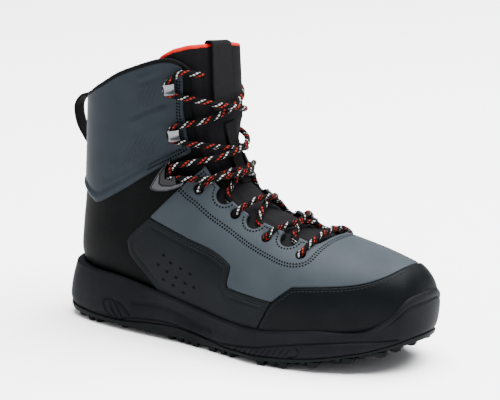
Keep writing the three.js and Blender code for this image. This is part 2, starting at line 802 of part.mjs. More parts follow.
// The webbing strap down the middle of the tongue, folded over its top edge.
function makeTongueStrap() {
  const outer = [];
  const inner = [];
  for (let station = 14.6; station <= 20.4; station += 0.725) {
    outer.push(frontPoint(station, 0, TONGUE_OUT + GAP + STRAP_THICK));
    inner.push(frontPoint(station, 0, TONGUE_OUT + GAP));
  }
  const profile = [...outer, ...inner.reverse()].map((p) => new THREE.Vector2(p.x, p.z));
  return sidePrism(profile, -STRAP_WIDTH / 2, STRAP_WIDTH / 2).subtract(above(TONGUE_TOP, 1));
}

// The pull loop on the back of the shaft
const PULL_LOOP = [
  { back: 0.02, up: 1.49 },
  { back: 0.6, up: 1.5 },
  { back: 0.97, up: 1.43 },
  { back: 1.0, up: 1.36 },
  { back: 0.8, up: 1.26 },
  { back: 0.4, up: 1.17 },
  { back: 0.02, up: 1.1 },
];

function backAt(z) {
  let station = 14;
  while (station < LAST_END && section(station).base.z < z) station += 0.05;
  return section(station).base.x;
}

function makePullLoop() {
  const out = GAP + PANEL + GAP;
  const route = PULL_LOOP.map((row) => {
    const z = rise(row.up);
    return new THREE.Vector2(backAt(z) - out - PULL_THICK / 2 - row.back * PULL_REACH, z);
  });
  const curve = new THREE.SplineCurve(route);
  const points = curve.getPoints(12);
  const sideOf = (offset) =>
    points.map((p, i) => {
      const run = curve.getTangent(i / 12);
      return new THREE.Vector2(p.x - run.y * offset, p.y + run.x * offset);
    });
  const profile = [...sideOf(PULL_THICK / 2), ...sideOf(-PULL_THICK / 2).reverse()];
  return sidePrism(profile, -PULL_WIDTH / 2, PULL_WIDTH / 2);
}

// Metal hooks stand on the shaft in their own frame: x to the throat, y up, z outwards.
function hookFrame(row, side, offset) {
  const { station, angle } = sideSpot(row, side);
  const normal = lastNormal(station, angle);
  const up = new THREE.Vector3(-0.15, 0, 1);
  up.addScaledVector(normal, -up.dot(normal)).normalize();
  if (side > 0) up.negate();
  const across = new THREE.Vector3().crossVectors(up, normal);
  const frame = new THREE.Matrix4().makeBasis(across, up, normal);
  return frame.setPosition(lastPoint(station, angle, offset));
}

// A hook of bent strip, open away from the throat.
function hookForm(reach, width, height) {
  const m = HOOK_METAL;
  const shape = new THREE.Shape();
  shape.moveTo(-reach / 2, 0);
  shape.lineTo(reach / 2, 0);
  shape.lineTo(reach / 2 + height * 0.25, height * 0.45);
  shape.lineTo(reach / 2 - height * 0.1, height);
  shape.lineTo(-reach * 0.28, height);
  shape.lineTo(-reach * 0.42, height * 0.78);
  shape.lineTo(-reach * 0.28, height - m);
  shape.lineTo(reach / 2 - height * 0.1 - m * 0.6, height - m);
  shape.lineTo(reach / 2 + height * 0.25 - m, height * 0.45);
  shape.lineTo(reach / 2 - m * 0.9, m);
  shape.lineTo(-reach / 2, m);
  const strip = new THREE.ExtrudeGeometry(shape, { depth: width, bevelEnabled: false });
  strip.rotateX(Math.PI / 2);
  strip.translate(0, width / 2, 0);
  return solid(strip);
}

function makeHooks() {
  const proud = GAP + PANEL + HOOK_SEAT;
  for (const [side, sideName] of [[-1, "lateral"], [1, "medial"]]) {
    addPiece(`lock_hook_${sideName}`, lockForm(side), GUNMETAL, hookFrame(LOCK_HOOK, side, proud));
    SPEED_HOOKS.forEach((row, i) => {
      const form = hookForm(HOOK_REACH, HOOK_WIDTH, HOOK_HEIGHT);
      addPiece(`speed_hook_${sideName}_${i + 1}`, form, GUNMETAL, hookFrame(row, side, proud));
    });
  }
}

const LOCK_PLATE = [
  { across: 0.5, up: 0.55 },
  { across: -0.35, up: 0.55 },
  { across: -1.0, up: -0.45 },
  { across: -0.75, up: -0.8 },
  { across: 0.35, up: -0.8 },
  { across: 0.62, up: -0.35 },
];

// The ankle hook: the same bent strip on a plate that runs down to a point.
function lockForm(side) {
  const plate = new THREE.Shape(
    LOCK_PLATE.map((row) => new THREE.Vector2(row.across * LOCK_REACH, -side * row.up * LOCK_WIDTH)),
  );
  const sheet = new THREE.ExtrudeGeometry(plate, { depth: HOOK_METAL, bevelEnabled: false });
  return solid(sheet).add(hookForm(LOCK_REACH, LOCK_WIDTH, HOOK_HEIGHT + 1));
}

// A cord along a route of points.
function cord(points, radius) {
  const curve = new THREE.CatmullRomCurve3(points);
  const section = new THREE.Shape();
  for (let i = 0; i < TUBE_SIDES; i += 1) {
    const a = (2 * Math.PI * i) / TUBE_SIDES;
    if (i === 0) section.moveTo(radius * Math.cos(a), radius * Math.sin(a));
    else section.lineTo(radius * Math.cos(a), radius * Math.sin(a));
  }
  const steps = points.length + 1;
  return solid(
    new THREE.ExtrudeGeometry(section, { extrudePath: curve, steps, bevelEnabled: false }),
  );
}

// A lace run over the tongue, from a spot of one side to a spot of the other.
function laceRun(from, to, side, lift) {
  const start = sideSpot(from, side);
  const end = sideSpot(to, -side);
  const points = [];
  for (let i = 0; i <= LACE_STEPS; i += 1) {
    const t = i / LACE_STEPS;
    const station = THREE.MathUtils.lerp(start.station, end.station, t);
    const angle = THREE.MathUtils.lerp(start.angle, end.angle, t);
    points.push(lastPoint(station, angle, lift + PANEL + 3 * GAP + LACE_RADIUS));
  }
  return points;
}

// Where the runs of each crossing leave the flap below and meet the other flap above, and how
// high they lie over the panels.
const LACING = [
  { low: { along: 0.69, up: 0.735 }, high: { along: 0.635, up: 0.785 }, lift: 0.1 },
  { low: { along: 0.585, up: 0.835 }, high: { along: 0.535, up: 0.9 }, lift: 0.6 },
  { low: { along: 0.487, up: 0.95 }, high: { along: 0.445, up: 1.03 }, lift: 0.75 },
  { low: { along: 0.43, up: 1.1 }, high: { along: 0.39, up: 1.13 }, lift: 0.1 },
  { low: { along: 0.39, up: 1.21 }, high: { along: 0.4, up: 1.35 }, lift: -0.8 },
  { low: { along: 0.4, up: 1.5 }, high: { along: 0.385, up: 1.68 }, lift: 0.1 },
];
const LACE_BAR = { along: 0.73, up: 0.73 };
const LACE_END = [
  { along: 0.375, up: 1.86, lift: -0.1 },
  { along: 0.395, up: 1.87, lift: -0.1 },
  { along: 0.415, up: 1.84, lift: -0.4 },
];

function makeLaces() {
  addPiece("lace_bar", cord(laceRun(LACE_BAR, LACE_BAR, 1, 0), LACE_RADIUS), CORD);
  LACING.forEach(({ low, high, lift }, i) => {
    const rising = cord(laceRun(low, high, 1, lift), LACE_RADIUS);
    const falling = cord(laceRun(low, high, -1, lift + 0.6), LACE_RADIUS);
    addPiece(`lace_crossing_${i + 1}`, rising.add(falling), CORD);
  });
  const end = LACE_END.map((row) => {
    const { station, angle } = sideSpot(row, -1);
    return lastPoint(station, angle, row.lift + PANEL + 3 * GAP + LACE_RADIUS);
  });
  addPiece("lace_end_lateral", cord(end, LACE_RADIUS), CORD);
}

const upper = makeUpper();
addPiece("outsole", makeOutsole(), TREAD_RUBBER);
addPiece("midsole", makeMidsole(), MIDSOLE_GREY);
addPiece("insole", makeInsole(), FOOTBED);
addPiece("upper", upper, BLACK_UPPER);
addPiece("shaft_panel", makeShaftPanel(), SLATE);
addPiece("vamp_panel", makeVampPanel(), SLATE);
addPiece("side_panel_lateral", makeSidePanel(-1), BLACK_PANEL);
addPiece("side_panel_medial", makeSidePanel(1), BLACK_PANEL);
addPiece("toe_rand", makeToeRand(), BLACK_PANEL);
addPiece("collar_binding", makeBinding(), WEBBING);
addPiece("tongue", makeTongue(), TONGUE_CLOTH);
addPiece("tongue_strap", makeTongueStrap(), WEBBING);
addPiece("pull_loop", makePullLoop(), WEBBING);
addPiece("sole_tag", tagForm(0), RED);
makeHooks();
makeLaces();

// The origin is on the floor, under the middle of the boot's box.
const box = new THREE.Box3().setFromObject(boot);
const middle = box.getCenter(new THREE.Vector3());
boot.position.set(-middle.x, -middle.y, -box.min.z);

export default boot;
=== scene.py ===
# %% [markdown]
# # A wading boot, dressed for its picture
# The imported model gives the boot's true solids: sole, shell, overlays, hooks and lace runs. This
# script puts a dressed piece in place of each one, with edges, seams, cloth and wear. All pieces are
# drawn in millimetres from the heel forwards and are moved into the model's frame at the end.

import math

import bmesh
import bpy
import numpy as np
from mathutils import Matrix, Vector
from mathutils.bvhtree import BVHTree


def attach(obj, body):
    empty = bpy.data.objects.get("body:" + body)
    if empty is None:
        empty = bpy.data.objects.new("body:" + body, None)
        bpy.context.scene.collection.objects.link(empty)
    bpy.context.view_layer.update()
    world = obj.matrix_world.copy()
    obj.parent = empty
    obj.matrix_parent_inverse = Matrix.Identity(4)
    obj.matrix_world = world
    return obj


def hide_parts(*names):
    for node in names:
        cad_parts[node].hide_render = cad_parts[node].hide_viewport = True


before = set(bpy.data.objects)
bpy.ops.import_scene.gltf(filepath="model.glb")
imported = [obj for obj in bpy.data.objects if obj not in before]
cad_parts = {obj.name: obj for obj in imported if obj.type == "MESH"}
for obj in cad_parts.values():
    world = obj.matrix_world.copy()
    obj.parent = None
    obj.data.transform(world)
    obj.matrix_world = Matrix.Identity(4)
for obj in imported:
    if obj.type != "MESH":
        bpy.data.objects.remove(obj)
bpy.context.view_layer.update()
print(len(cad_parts), "solids in the model")

# %% [markdown]
# The boot's own sizes come first, because every outline below is a share of them. Heights are shares
# of the instep up to 1, and from 1 to 2 they are shares of the way up to the top of the collar.

# %% Sizes in millimetres
SOLE_LENGTH = 315
BALL_WIDTH = 120
INSTEP_HEIGHT = 120
COLLAR_HEIGHT = 224
HEEL_TO_MIDDLE = 157.05
SIDE_TO_MIDDLE = 1.827
WALL = 2.2
PANEL = 1.5
RAND = 2.0
GAP = 0.3
LUG_DEPTH = 3.7
TOE_SPRING = 20
HEEL_BEVEL = 4
TONGUE_OUT = -WALL - GAP
TONGUE_THICK = 5
LACE_RADIUS = 2.2
EYELET_RADIUS = 2.9
SCALLOP_RADIUS = 6.2


def rise(up):
    """Height in millimetres of a share of the instep and the shaft."""
    up = np.asarray(up, float)
    high = INSTEP_HEIGHT + (up - 1) * (COLLAR_HEIGHT - INSTEP_HEIGHT)
    return np.where(up <= 1, up * INSTEP_HEIGHT, high)


def side_place(along, up):
    """A place of the side view, in millimetres."""
    return np.array([along * SOLE_LENGTH, float(rise(up))])


# %% [markdown]
# Some small steps come back all through the script: directions of length 1, the way along a line,
# rounded squares, and the faces between the rows of a grid.

# %% Lines, rings and grids
def unit(vectors):
    return vectors / np.linalg.norm(vectors, axis=-1, keepdims=True)


def run_length(points):
    """How far each point lies along its line."""
    return np.concatenate([[0], np.cumsum(np.linalg.norm(np.diff(points, axis=0), axis=1))])


def hump(at, middle, width):
    """A soft hump of height 1 round a middle."""
    return np.exp(-(((at - middle) / width) ** 2))


def ramp(at, start, stop):
    """From 0 before the start to 1 past the stop."""
    return np.clip((at - start) / (stop - start), 0, 1)


def squared(value, power):
    """A sine or cosine, drawn out so that a ring made of them is squarer than a circle."""
    return np.sign(value) * np.abs(value) ** power


def circle(sides):
    """Cosine and sine of evenly spaced places round a ring."""
    turn = np.linspace(0, 2 * math.pi, sides, endpoint=False)
    return np.cos(turn), np.sin(turn)


def ring_faces(rows, columns, turned=False):
    """The faces between rings that follow each other, each ring closed on itself."""
    index = np.arange(rows * columns).reshape(rows, columns)
    after = np.roll(index, -1, axis=1)
    corners = [index[:-1], after[:-1], after[1:], index[1:]]
    if turned:
        corners = [index[:-1], index[1:], after[1:], after[:-1]]
    return np.stack(corners, -1).reshape(-1, 4).tolist()


def grid_faces(shape):
    """The faces of an open grid."""
    index = np.arange(shape[0] * shape[1]).reshape(shape)
    corners = [index[:-1, :-1], index[:-1, 1:], index[1:, 1:], index[1:, :-1]]
    return np.stack(corners, -1).reshape(-1, 4)


# %% [markdown]
# A few given numbers make a whole form when a smooth curve runs through them. This curve keeps
# to its rows and never swings far out between them, so one row can be changed without upsetting the
# rest of the shape.

# %% Smooth curve through given rows
def through(places, values, at):
    """Values of a smooth curve through the rows, read at each place in `at`."""
    places = np.asarray(places, float)
    values = np.asarray(values, float)
    at = np.asarray(at, float)
    last = len(places) - 1
    i = np.searchsorted(places[1:last], at)
    before = np.maximum(np.arange(last + 1) - 1, 0)
    after = np.minimum(np.arange(last + 1) + 1, last)
    slope = (values[after] - values[before]) / (places[after] - places[before])
    width = places[i + 1] - places[i]
    t = (at - places[i]) / width
    s = 1 - t
    start = values[i] * s * s * (1 + 2 * t) + slope[i] * width * s * s * t
    return start + values[i + 1] * t * t * (3 - 2 * t) - slope[i + 1] * width * t * t * s


# %% [markdown]
# The upper is shaped on a last. Its sections fan out from the toe, round the heel and up the shaft,
# and each is a rounded ring between a crest, on the instep or shin, and a base, under the foot or
# up the back. The columns are shares of the sizes above; wide is where a section is widest, and
# flat and round square off its two ends.

# %% The last
LAST_COLUMNS = "crest_along crest_up base_along base_up lateral medial wide flat round".split()
LAST_ROWS = [
    [0.989, 0.45, 0.989, 0.34, -0.02, 0.11, 0.5, 2.0, 2.0],
    [0.983, 0.52, 0.984, 0.31, 0.08, 0.225, 0.45, 2.4, 2.2],
    [0.967, 0.59, 0.97, 0.287, 0.145, 0.29, 0.4, 3.0, 2.3],
    [0.937, 0.64, 0.94, 0.275, 0.205, 0.34, 0.35, 3.6, 2.4],
    [0.89, 0.67, 0.892, 0.25, 0.275, 0.395, 0.32, 4.0, 2.4],
    [0.825, 0.705, 0.825, 0.217, 0.36, 0.46, 0.3, 4.5, 2.3],
    [0.756, 0.746, 0.746, 0.188, 0.42, 0.483, 0.28, 5.0, 2.2],
    [0.683, 0.792, 0.66, 0.167, 0.445, 0.463, 0.28, 5.0, 2.1],
    [0.613, 0.85, 0.571, 0.167, 0.43, 0.42, 0.3, 5.0, 2.0],
    [0.546, 0.93, 0.476, 0.183, 0.4, 0.383, 0.32, 4.5, 1.95],
    [0.498, 1.04, 0.375, 0.204, 0.38, 0.362, 0.34, 4.0, 1.95],
    [0.47, 1.19, 0.267, 0.225, 0.362, 0.346, 0.36, 3.6, 2.0],
    [0.459, 1.345, 0.159, 0.242, 0.35, 0.333, 0.38, 3.2, 2.1],
    [0.454, 1.48, 0.07, 0.267, 0.338, 0.321, 0.42, 2.8, 2.2],
    [0.451, 1.587, 0.025, 0.367, 0.33, 0.317, 0.46, 2.5, 2.3],
    [0.448, 1.683, 0.021, 0.55, 0.325, 0.317, 0.48, 2.3, 2.4],
    [0.444, 1.77, 0.029, 0.767, 0.33, 0.32, 0.5, 2.2, 2.4],
    [0.441, 1.856, 0.038, 1.0, 0.338, 0.33, 0.5, 2.2, 2.4],
    [0.438, 1.952, 0.044, 1.27, 0.346, 0.338, 0.5, 2.2, 2.4],
    [0.435, 2.058, 0.049, 1.5, 0.354, 0.346, 0.5, 2.2, 2.4],
    [0.432, 2.17, 0.054, 1.69, 0.358, 0.35, 0.5, 2.2, 2.4],
    [0.429, 2.27, 0.057, 1.846, 0.362, 0.354, 0.5, 2.2, 2.4],
]
LAST = dict(zip(LAST_COLUMNS, np.array(LAST_ROWS).T))
LAST_END = len(LAST_ROWS) - 1
STATIONS = np.arange(LAST_END + 1)
TOE_CAP = 0.5


def section(station):
    """The frame of the last's section at each station."""
    at = np.clip(station, 0, LAST_END)
    cut = {name: through(STATIONS, LAST[name], at) for name in LAST_COLUMNS}
    cut["base"] = np.stack([cut["base_along"] * SOLE_LENGTH, 0 * at, rise(cut["base_up"])], -1)
    cut["crest"] = np.stack([cut["crest_along"] * SOLE_LENGTH, 0 * at, rise(cut["crest_up"])], -1)
    cut["centre"] = (cut["medial"] - cut["lateral"]) / 2 * BALL_WIDTH
    cut["half"] = (cut["medial"] + cut["lateral"]) / 2 * BALL_WIDTH
    return cut


def bare_point(station, angle):
    """A point of the last: angle 0 is the crest, a quarter turn medial, a half turn the base."""
    station = np.asarray(station, float)
    cut = section(station)
    c = np.cos(angle)
    s = np.sin(angle)
    power = 2 / np.where(c >= 0, cut["round"], cut["flat"])
    reach = np.where(c >= 0, 1 - cut["wide"], -cut["wide"]) * np.abs(c) ** power
    share = (cut["wide"] + reach)[..., None]
    point = cut["base"] * (1 - share) + cut["crest"] * share
    point[..., 1] = cut["centre"] + cut["half"] * squared(s, power)
    nose = np.clip(-station, 0, 1) * math.pi / 2
    middle = (cut["base"] + cut["crest"]) / 2
    middle[..., 1] = cut["centre"]
    point = middle + (point - middle) * np.cos(nose)[..., None]
    point[..., 0] += TOE_CAP * np.sin(nose)
    return point


def last_normal(station, angle):
    """The outward direction of the last's surface."""
    step = 0.02
    ahead = bare_point(np.minimum(station + step, LAST_END), angle)
    along = ahead - bare_point(np.maximum(station - step, -0.98), angle)
    around = bare_point(station, angle + step) - bare_point(station, angle - step)
    out = np.cross(around, along)
    return out / np.maximum(np.linalg.norm(out, axis=-1, keepdims=True), 1e-9)


def last_point(station, angle, offset=0.0):
    """A point that stands off the last by an offset in millimetres."""
    station, angle, offset = np.broadcast_arrays(station, angle, offset)
    return bare_point(station, angle) + last_normal(station, angle) * offset[..., None]


print("toe", last_point(0, 0.0).round(1), "collar", last_point(21, 0.0).round(1))

# %% [markdown]
# Outlines of the overlays are read off the side view. Each is a closed loop of given points: a
# point marked 1 is a corner, and between corners the line is a smooth curve. Where two overlays
# meet, both take the same points.

# %% Outlines in the side view
COLLAR_LINE = [
    (-0.1, 1.52, 1),
    (0.06, 1.55, 0),
    (0.14, 1.67, 0),
    (0.21, 1.795, 0),
    (0.27, 1.875, 0),
    (0.32, 1.93, 0),
    (0.347, 1.945, 0),
    (0.37, 1.93, 0),
    (0.388, 1.885, 0),
    (0.405, 1.8, 0),
    (0.422, 1.7, 0),
    (0.46, 1.6, 1),
    (1.1, 1.6, 1),
    (1.1, 3.0, 1),
    (-0.1, 3.0, 1),
]
SHAFT_EDGE = [
    (-0.1, 0.9, 1),
    (0.035, 0.89, 0),
    (0.105, 0.82, 0),
    (0.13, 0.81, 0),
    (0.2, 0.91, 0),
    (0.305, 1.1, 0),
    (0.38, 1.235, 0),
    (0.401, 1.3, 0),
    (0.405, 1.5, 0),
    (0.395, 1.72, 0),
    (0.4, 1.9, 0),
    (0.38, 2.4, 1),
    (-0.1, 2.4, 1),
]
SIDE_TOP = [
    (0.3, 0.785, 1),
    (0.41, 0.7, 0),
    (0.49, 0.65, 0),
    (0.543, 0.592, 0),
    (0.553, 0.56, 0),
    (0.551, 0.46, 0),
    (0.576, 0.438, 0),
]
RAND_TOP = [
    (0.686, 0.415, 1),
    (0.728, 0.505, 0),
    (0.745, 0.522, 0),
    (0.855, 0.55, 0),
    (0.908, 0.58, 0),
    (0.945, 0.635, 0),
    (0.96, 0.75, 1),
]
RAND_FOOT = (0.62, 0.1, 1)
VAMP_EDGE = [(0.425, 1.15, 1), (0.387, 1.03, 0), *SIDE_TOP, *RAND_TOP, (0.96, 1.9, 1), (0.55, 1.9, 1)]
TOE_RAND = [RAND_FOOT, *RAND_TOP, (1.1, 0.75, 1), (1.1, 0.1, 1)]
SIDE_PANEL = [
    *SIDE_TOP,
    RAND_TOP[0],
    RAND_FOOT,
    (0.37, 0.1, 1),
    (0.36, 0.2, 0),
    (0.3, 0.38, 0),
    (0.247, 0.5, 0),
    (0.235, 0.58, 0),
    (0.24, 0.64, 0),
]


def smooth_loop(rows, steps=8):
    """A closed outline in millimetres: smooth between the corners that its rows mark."""
    spots = np.array([side_place(along, up) for along, up, _ in rows])
    count = len(rows)
    line = []
    for i in range(count):
        a, b = spots[i], spots[(i + 1) % count]
        before = a if rows[i][2] else spots[i - 1]
        after = b if rows[(i + 1) % count][2] else spots[(i + 2) % count]
        for t in np.arange(steps) / steps:
            bend = 2 * before - 5 * a + 4 * b - after
            last = 3 * a - before - 3 * b + after
            line.append(a + 0.5 * (t * (b - before) + t * t * bend + t**3 * last))
    return np.array(line)


def loop_distance(loop, points):
    """Distance of flat points to a closed loop, positive inside, and the way to its nearest spot."""
    best = np.full(len(points), 1e9)
    away = np.zeros((len(points), 2))
    inside = np.zeros(len(points), bool)
    for a, b in zip(loop, np.roll(loop, -1, axis=0)):
        run = b - a
        t = np.clip((points - a) @ run / max(run @ run, 1e-12), 0, 1)
        step = points - (a + t[:, None] * run)
        distance = np.hypot(*step.T)
        near = distance < best
        best = np.where(near, distance, best)
        away[near] = step[near]
        level = (a[1] > points[:, 1]) != (b[1] > points[:, 1])
        cross = a[0] + (points[:, 1] - a[1]) / (b[1] - a[1] + 1e-12) * run[0]
        inside ^= level & (points[:, 0] < cross)
    away /= np.maximum(best, 1e-9)[:, None]
    return np.where(inside, best, -best), away


# %% [markdown]
# A flat outline gives a distance in the side view. On a surface that turns away from that view the
# true distance is longer, so it is divided by how much of the way lies in the surface. Stitch lines
# and thick edges then keep their real width all round the boot.

# %% Distances on the surface
class Spot:
    """Places on the last with what the outlines need to know about them."""

    def __init__(self, station, angle):
        self.station = np.asarray(station, float)
        self.angle = np.asarray(angle, float)
        self.point = bare_point(self.station, self.angle)
        self.normal = last_normal(self.station, self.angle)


def within(rows, spot):
    """Distance inside a side-view outline, measured on the surface."""
    flat = spot.point[:, [0, 2]]
    distance, away = loop_distance(smooth_loop(rows), flat)
    turned = (away * spot.normal[:, [0, 2]]).sum(axis=1)
    return distance / np.maximum(np.sqrt(np.maximum(1 - turned**2, 0)), 0.2)


FINE = np.linspace(0, LAST_END, 841)
CREST_RUN = run_length(section(FINE)["crest"])
THROAT_STATIONS = [6.25, 6.33, 6.55, 8, 10, 12, 14, 16, 18, 21]
THROAT_GAPS = [0.14, 0.162, 0.167, 0.165, 0.172, 0.2, 0.22, 0.235, 0.24, 0.24]
THROAT_END = [6.2, 6.21, 6.25, 6.33, 6.55]
THROAT_END_HALVES = [0.0, 12.0, 16.8, 19.4, 20.0]


def throat_gap(station):
    """Half the throat's width in millimetres at a station."""
    at = np.clip(station, THROAT_STATIONS[0], LAST_END)
    return through(THROAT_STATIONS, THROAT_GAPS, at) * BALL_WIDTH


def throat_loop():
    """The throat laid flat: along the crest and across it."""
    stations = np.concatenate([THROAT_END, np.arange(7, LAST_END + 1)])
    half = np.concatenate([THROAT_END_HALVES, throat_gap(np.arange(7, LAST_END + 1))])
    along = np.interp(stations, FINE, CREST_RUN)
    side = np.stack([along, half], -1)
    far = np.array([[CREST_RUN[-1] + 60, half[-1]], [CREST_RUN[-1] + 60, -half[-1]]])
    return np.concatenate([side, far, (side * [1, -1])[:0:-1]])


THROAT_LOOP = throat_loop()


def from_throat(spot):
    """Distance from the throat's edge, positive on the flaps."""
    flat = np.stack(
        [
            np.interp(spot.station, FINE, CREST_RUN),
            spot.point[:, 1] - section(spot.station)["centre"],
        ],
        -1,
    )
    distance, away = loop_distance(THROAT_LOOP, flat)
    turned = away[:, 1] * spot.normal[:, 1]
    distance = distance / np.maximum(np.sqrt(np.maximum(1 - turned**2, 0)), 0.3)
    behind = np.cos(spot.angle) < -0.2
    return np.where(behind, 60, -distance)


# %% [markdown]
# Some places are known from the side view and are wanted on the last. The station is the section
# whose plane goes through the place, found by halving, and the angle follows from how far the place
# lies from base to crest.

# %% From the side view to the last
def side_spot(along, up, side):
    """Station and angle of the surface point that a side view shows at a place of the boot."""
    x, z = side_place(along, up)
    low, high = 0.5, float(LAST_END)
    for _ in range(40):
        middle = (low + high) / 2
        cut = section(np.array(middle))
        base, crest = cut["base"], cut["crest"]
        if (x - base[0]) * (crest[2] - base[2]) < (z - base[2]) * (crest[0] - base[0]):
            low = middle
        else:
            high = middle
    run = crest[[0, 2]] - base[[0, 2]]
    share = (np.array([x, z]) - base[[0, 2]]) @ run / (run @ run)
    wide = float(cut["wide"])
    reach = (share - wide) / ((1 - wide) if share >= wide else wide)
    power = float(cut["round"] if share >= wide else cut["flat"]) / 2
    cosine = math.copysign(min(1, abs(reach)) ** power, reach)
    return low, side * math.acos(cosine)


def front_angle(station, across):
    """The angle at which a section's front has a given place across the boot."""
    cut = section(np.asarray(station, float))
    share = np.clip((across - cut["centre"]) / cut["half"], -1, 1)
    return np.sign(share) * np.arcsin(np.abs(share) ** (cut["round"] / 2))


def throat_spot(station, side, inset):
    """Station and angle of a place on one side of the throat, an inset in from its edge."""
    across = section(np.array(station))["centre"] + side * (throat_gap(station) + inset)
    return station, float(front_angle(station, across))


EYELETS = [(0.722, 0.69), (0.62, 0.757), (0.522, 0.865), (0.4246, 1.005)]
SCALLOPS = [(7.1, 4.5), (8.5, 2.0), (10.05, 1.0)]
HOLES = []
for side in (-1, 1):
    for along, up in EYELETS:
        HOLES.append((last_point(*side_spot(along, up, side)), EYELET_RADIUS))
    for station, inset in SCALLOPS:
        HOLES.append((last_point(*throat_spot(station, side, inset)), SCALLOP_RADIUS))
print(len(HOLES), "eyelets and scallops")


def from_holes(spot, grow=0.0):
    """Distance from the rims of the eyelets and scallops."""
    best = np.full(len(spot.point), 60.0)
    for centre, radius in HOLES:
        best = np.minimum(best, np.linalg.norm(spot.point - centre, axis=1) - radius - grow)
    return best


# %% [markdown]
# An overlay is leather or coated cloth cut to shape. It could be modelled as a plate, but here it is
# cut out of a fine grid of the last itself: each grid place carries its depth inside the outline as
# a third coordinate, so a flat cut at depth 0 is the outline, and cuts at other depths give the
# rounded edge and the lines that the needle follows.

# %% Cutting a sheet out of the last
class Sheet:
    """Part of the last's surface inside an outline, with edges along each given depth."""

    def __init__(self, stations, angles, depth_of, levels):
        across, around = np.meshgrid(stations, angles, indexing="ij")
        depth = depth_of(Spot(across.ravel(), around.ravel()))
        quads = grid_faces(across.shape)
        quads = quads[(depth[quads] > 0).any(axis=1)]
        used, flat = np.unique(quads, return_inverse=True)
        places = np.stack([across.ravel(), around.ravel(), depth], -1)[used]
        grid = bpy.data.meshes.new("grid")
        grid.from_pydata(places.tolist(), [], flat.reshape(-1, 4).tolist())
        mesh = bmesh.new()
        mesh.from_mesh(grid)
        bpy.data.meshes.remove(grid)
        for level in [0.0, *levels]:
            bmesh.ops.bisect_plane(
                mesh,
                geom=mesh.verts[:] + mesh.edges[:] + mesh.faces[:],
                dist=1e-5,
                plane_co=(0, 0, level),
                plane_no=(0, 0, 1),
                clear_inner=level == 0,
            )
        mesh.verts.index_update()
        found = np.array([v.co[:] for v in mesh.verts])
        self.depth = found[:, 2]
        self.spot = Spot(found[:, 0], found[:, 1])
        self.faces = [[v.index for v in face.verts] for face in mesh.faces]
        self.edges = np.array([[v.index for v in edge.verts] for edge in mesh.edges])
        mesh.free()

    def at(self, height):
        """Points of the sheet at a height off the last."""
        return self.spot.point + self.spot.normal * np.asarray(height)[..., None]

    def lines(self, level):
        """The chains of vertices that lie at a depth."""
        on_line = np.abs(self.depth - level) < 2e-4
        near = {}
        for a, b in self.edges[on_line[self.edges].all(axis=1)]:
            near.setdefault(int(a), []).append(int(b))
            near.setdefault(int(b), []).append(int(a))
        starts = [v for v in near if len(near[v]) == 1] + list(near)
        done = set()
        chains = []
        for start in starts:
            if start in done:
                continue
            chain = [start]
            done.add(start)
            while True:
                ahead = [v for v in near[chain[-1]] if v not in done]
                if not ahead:
                    break
                chain.append(ahead[0])
                done.add(ahead[0])
            if chain[0] in near[chain[-1]] and len(chain) > 2:
                chain.append(chain[0])
            if len(chain) > 2:
                chains.append(np.array(chain))
        return chains


# %% [markdown]
# The upper isn't perfectly smooth. Soft troughs and ridges are placed in the side view, each
# as a short line with a width and a height. The low flaps curl up a little along the throat. Two
# small fields of embossed ribs, listed here too, are drawn by the shaft's material.

# %% Soft ridges, troughs and embossed ribs
CREASES = [
    # along, up, to along, to up, width and height in millimetres
    (0.254, 1.5, 0.335, 1.62, 2.0, -1.0),
    (0.254, 1.465, 0.335, 1.585, 2.6, 0.7),
    (0.25, 1.37, 0.335, 1.5, 2.6, -0.5),
    (0.275, 1.8, 0.335, 1.875, 1.8, 0.8),
    (0.275, 1.76, 0.335, 1.835, 1.8, -0.5),
    (0.226, 1.08, 0.36, 1.29, 2.4, -0.7),
    (0.16, 0.98, 0.226, 1.08, 2.4, -0.5),
    (0.1, 1.05, 0.1, 1.5, 16, 0.8),
    (0.2, 1.2, 0.22, 1.6, 14, -0.7),
    (0.6, 0.6, 0.66, 0.56, 9, -0.6),
    (0.7, 0.62, 0.74, 0.58, 10, 0.5),
]
RIB_FIELDS = [
    # along, up, half length, half height, spacing, lean in degrees
    (0.296, 1.69, 9.5, 13.0, 3.4, 24),
    (0.268, 1.245, 14.5, 16.0, 3.6, 32),
]
RIB_HEIGHT = 0.3
FLAP_CURL = 2.2


def segment_distance(flat, a, b):
    """Distance of flat points to the line from a to b."""
    run = b - a
    t = np.clip((flat - a) @ run / (run @ run + 1e-9), 0, 1)
    return np.linalg.norm(flat - a - t[:, None] * run, axis=1)


def line_distance(flat, spots):
    """Distance of flat points to an open line."""
    return np.min([segment_distance(flat, a, b) for a, b in zip(spots[:-1], spots[1:])], axis=0)


def relief(spot):
    """Height of the soft creases over the last, in millimetres."""
    flat = spot.point[:, [0, 2]]
    height = np.zeros(len(flat))
    for along, up, to_along, to_up, width, rise_by in CREASES:
        near = segment_distance(flat, side_place(along, up), side_place(to_along, to_up))
        height += rise_by * hump(near, 0, width)
    low_flap = ramp(spot.station, 6.3, 6.8) * ramp(spot.station, 12.5, 11)
    return height + FLAP_CURL * low_flap * hump(np.maximum(from_throat(spot), 0), 0, 6)


# %% [markdown]
# Every piece ends up the same way: its points go from millimetres into the model's frame, it takes
# its materials and smooth shading, it hangs under the root's empty, and the solids it stands for are
# hidden.

# %% Making a piece
TO_FRAME = np.array([HEEL_TO_MIDDLE, SIDE_TO_MIDDLE, 0.0])


def new_object(name, points, faces, edges=()):
    mesh = bpy.data.meshes.new(name)
    placed = (np.asarray(points) - TO_FRAME) * 0.001
    mesh.from_pydata(placed.tolist(), [list(e) for e in edges], [list(f) for f in faces])
    thing = bpy.data.objects.new(name, mesh)
    bpy.context.scene.collection.objects.link(thing)
    return thing


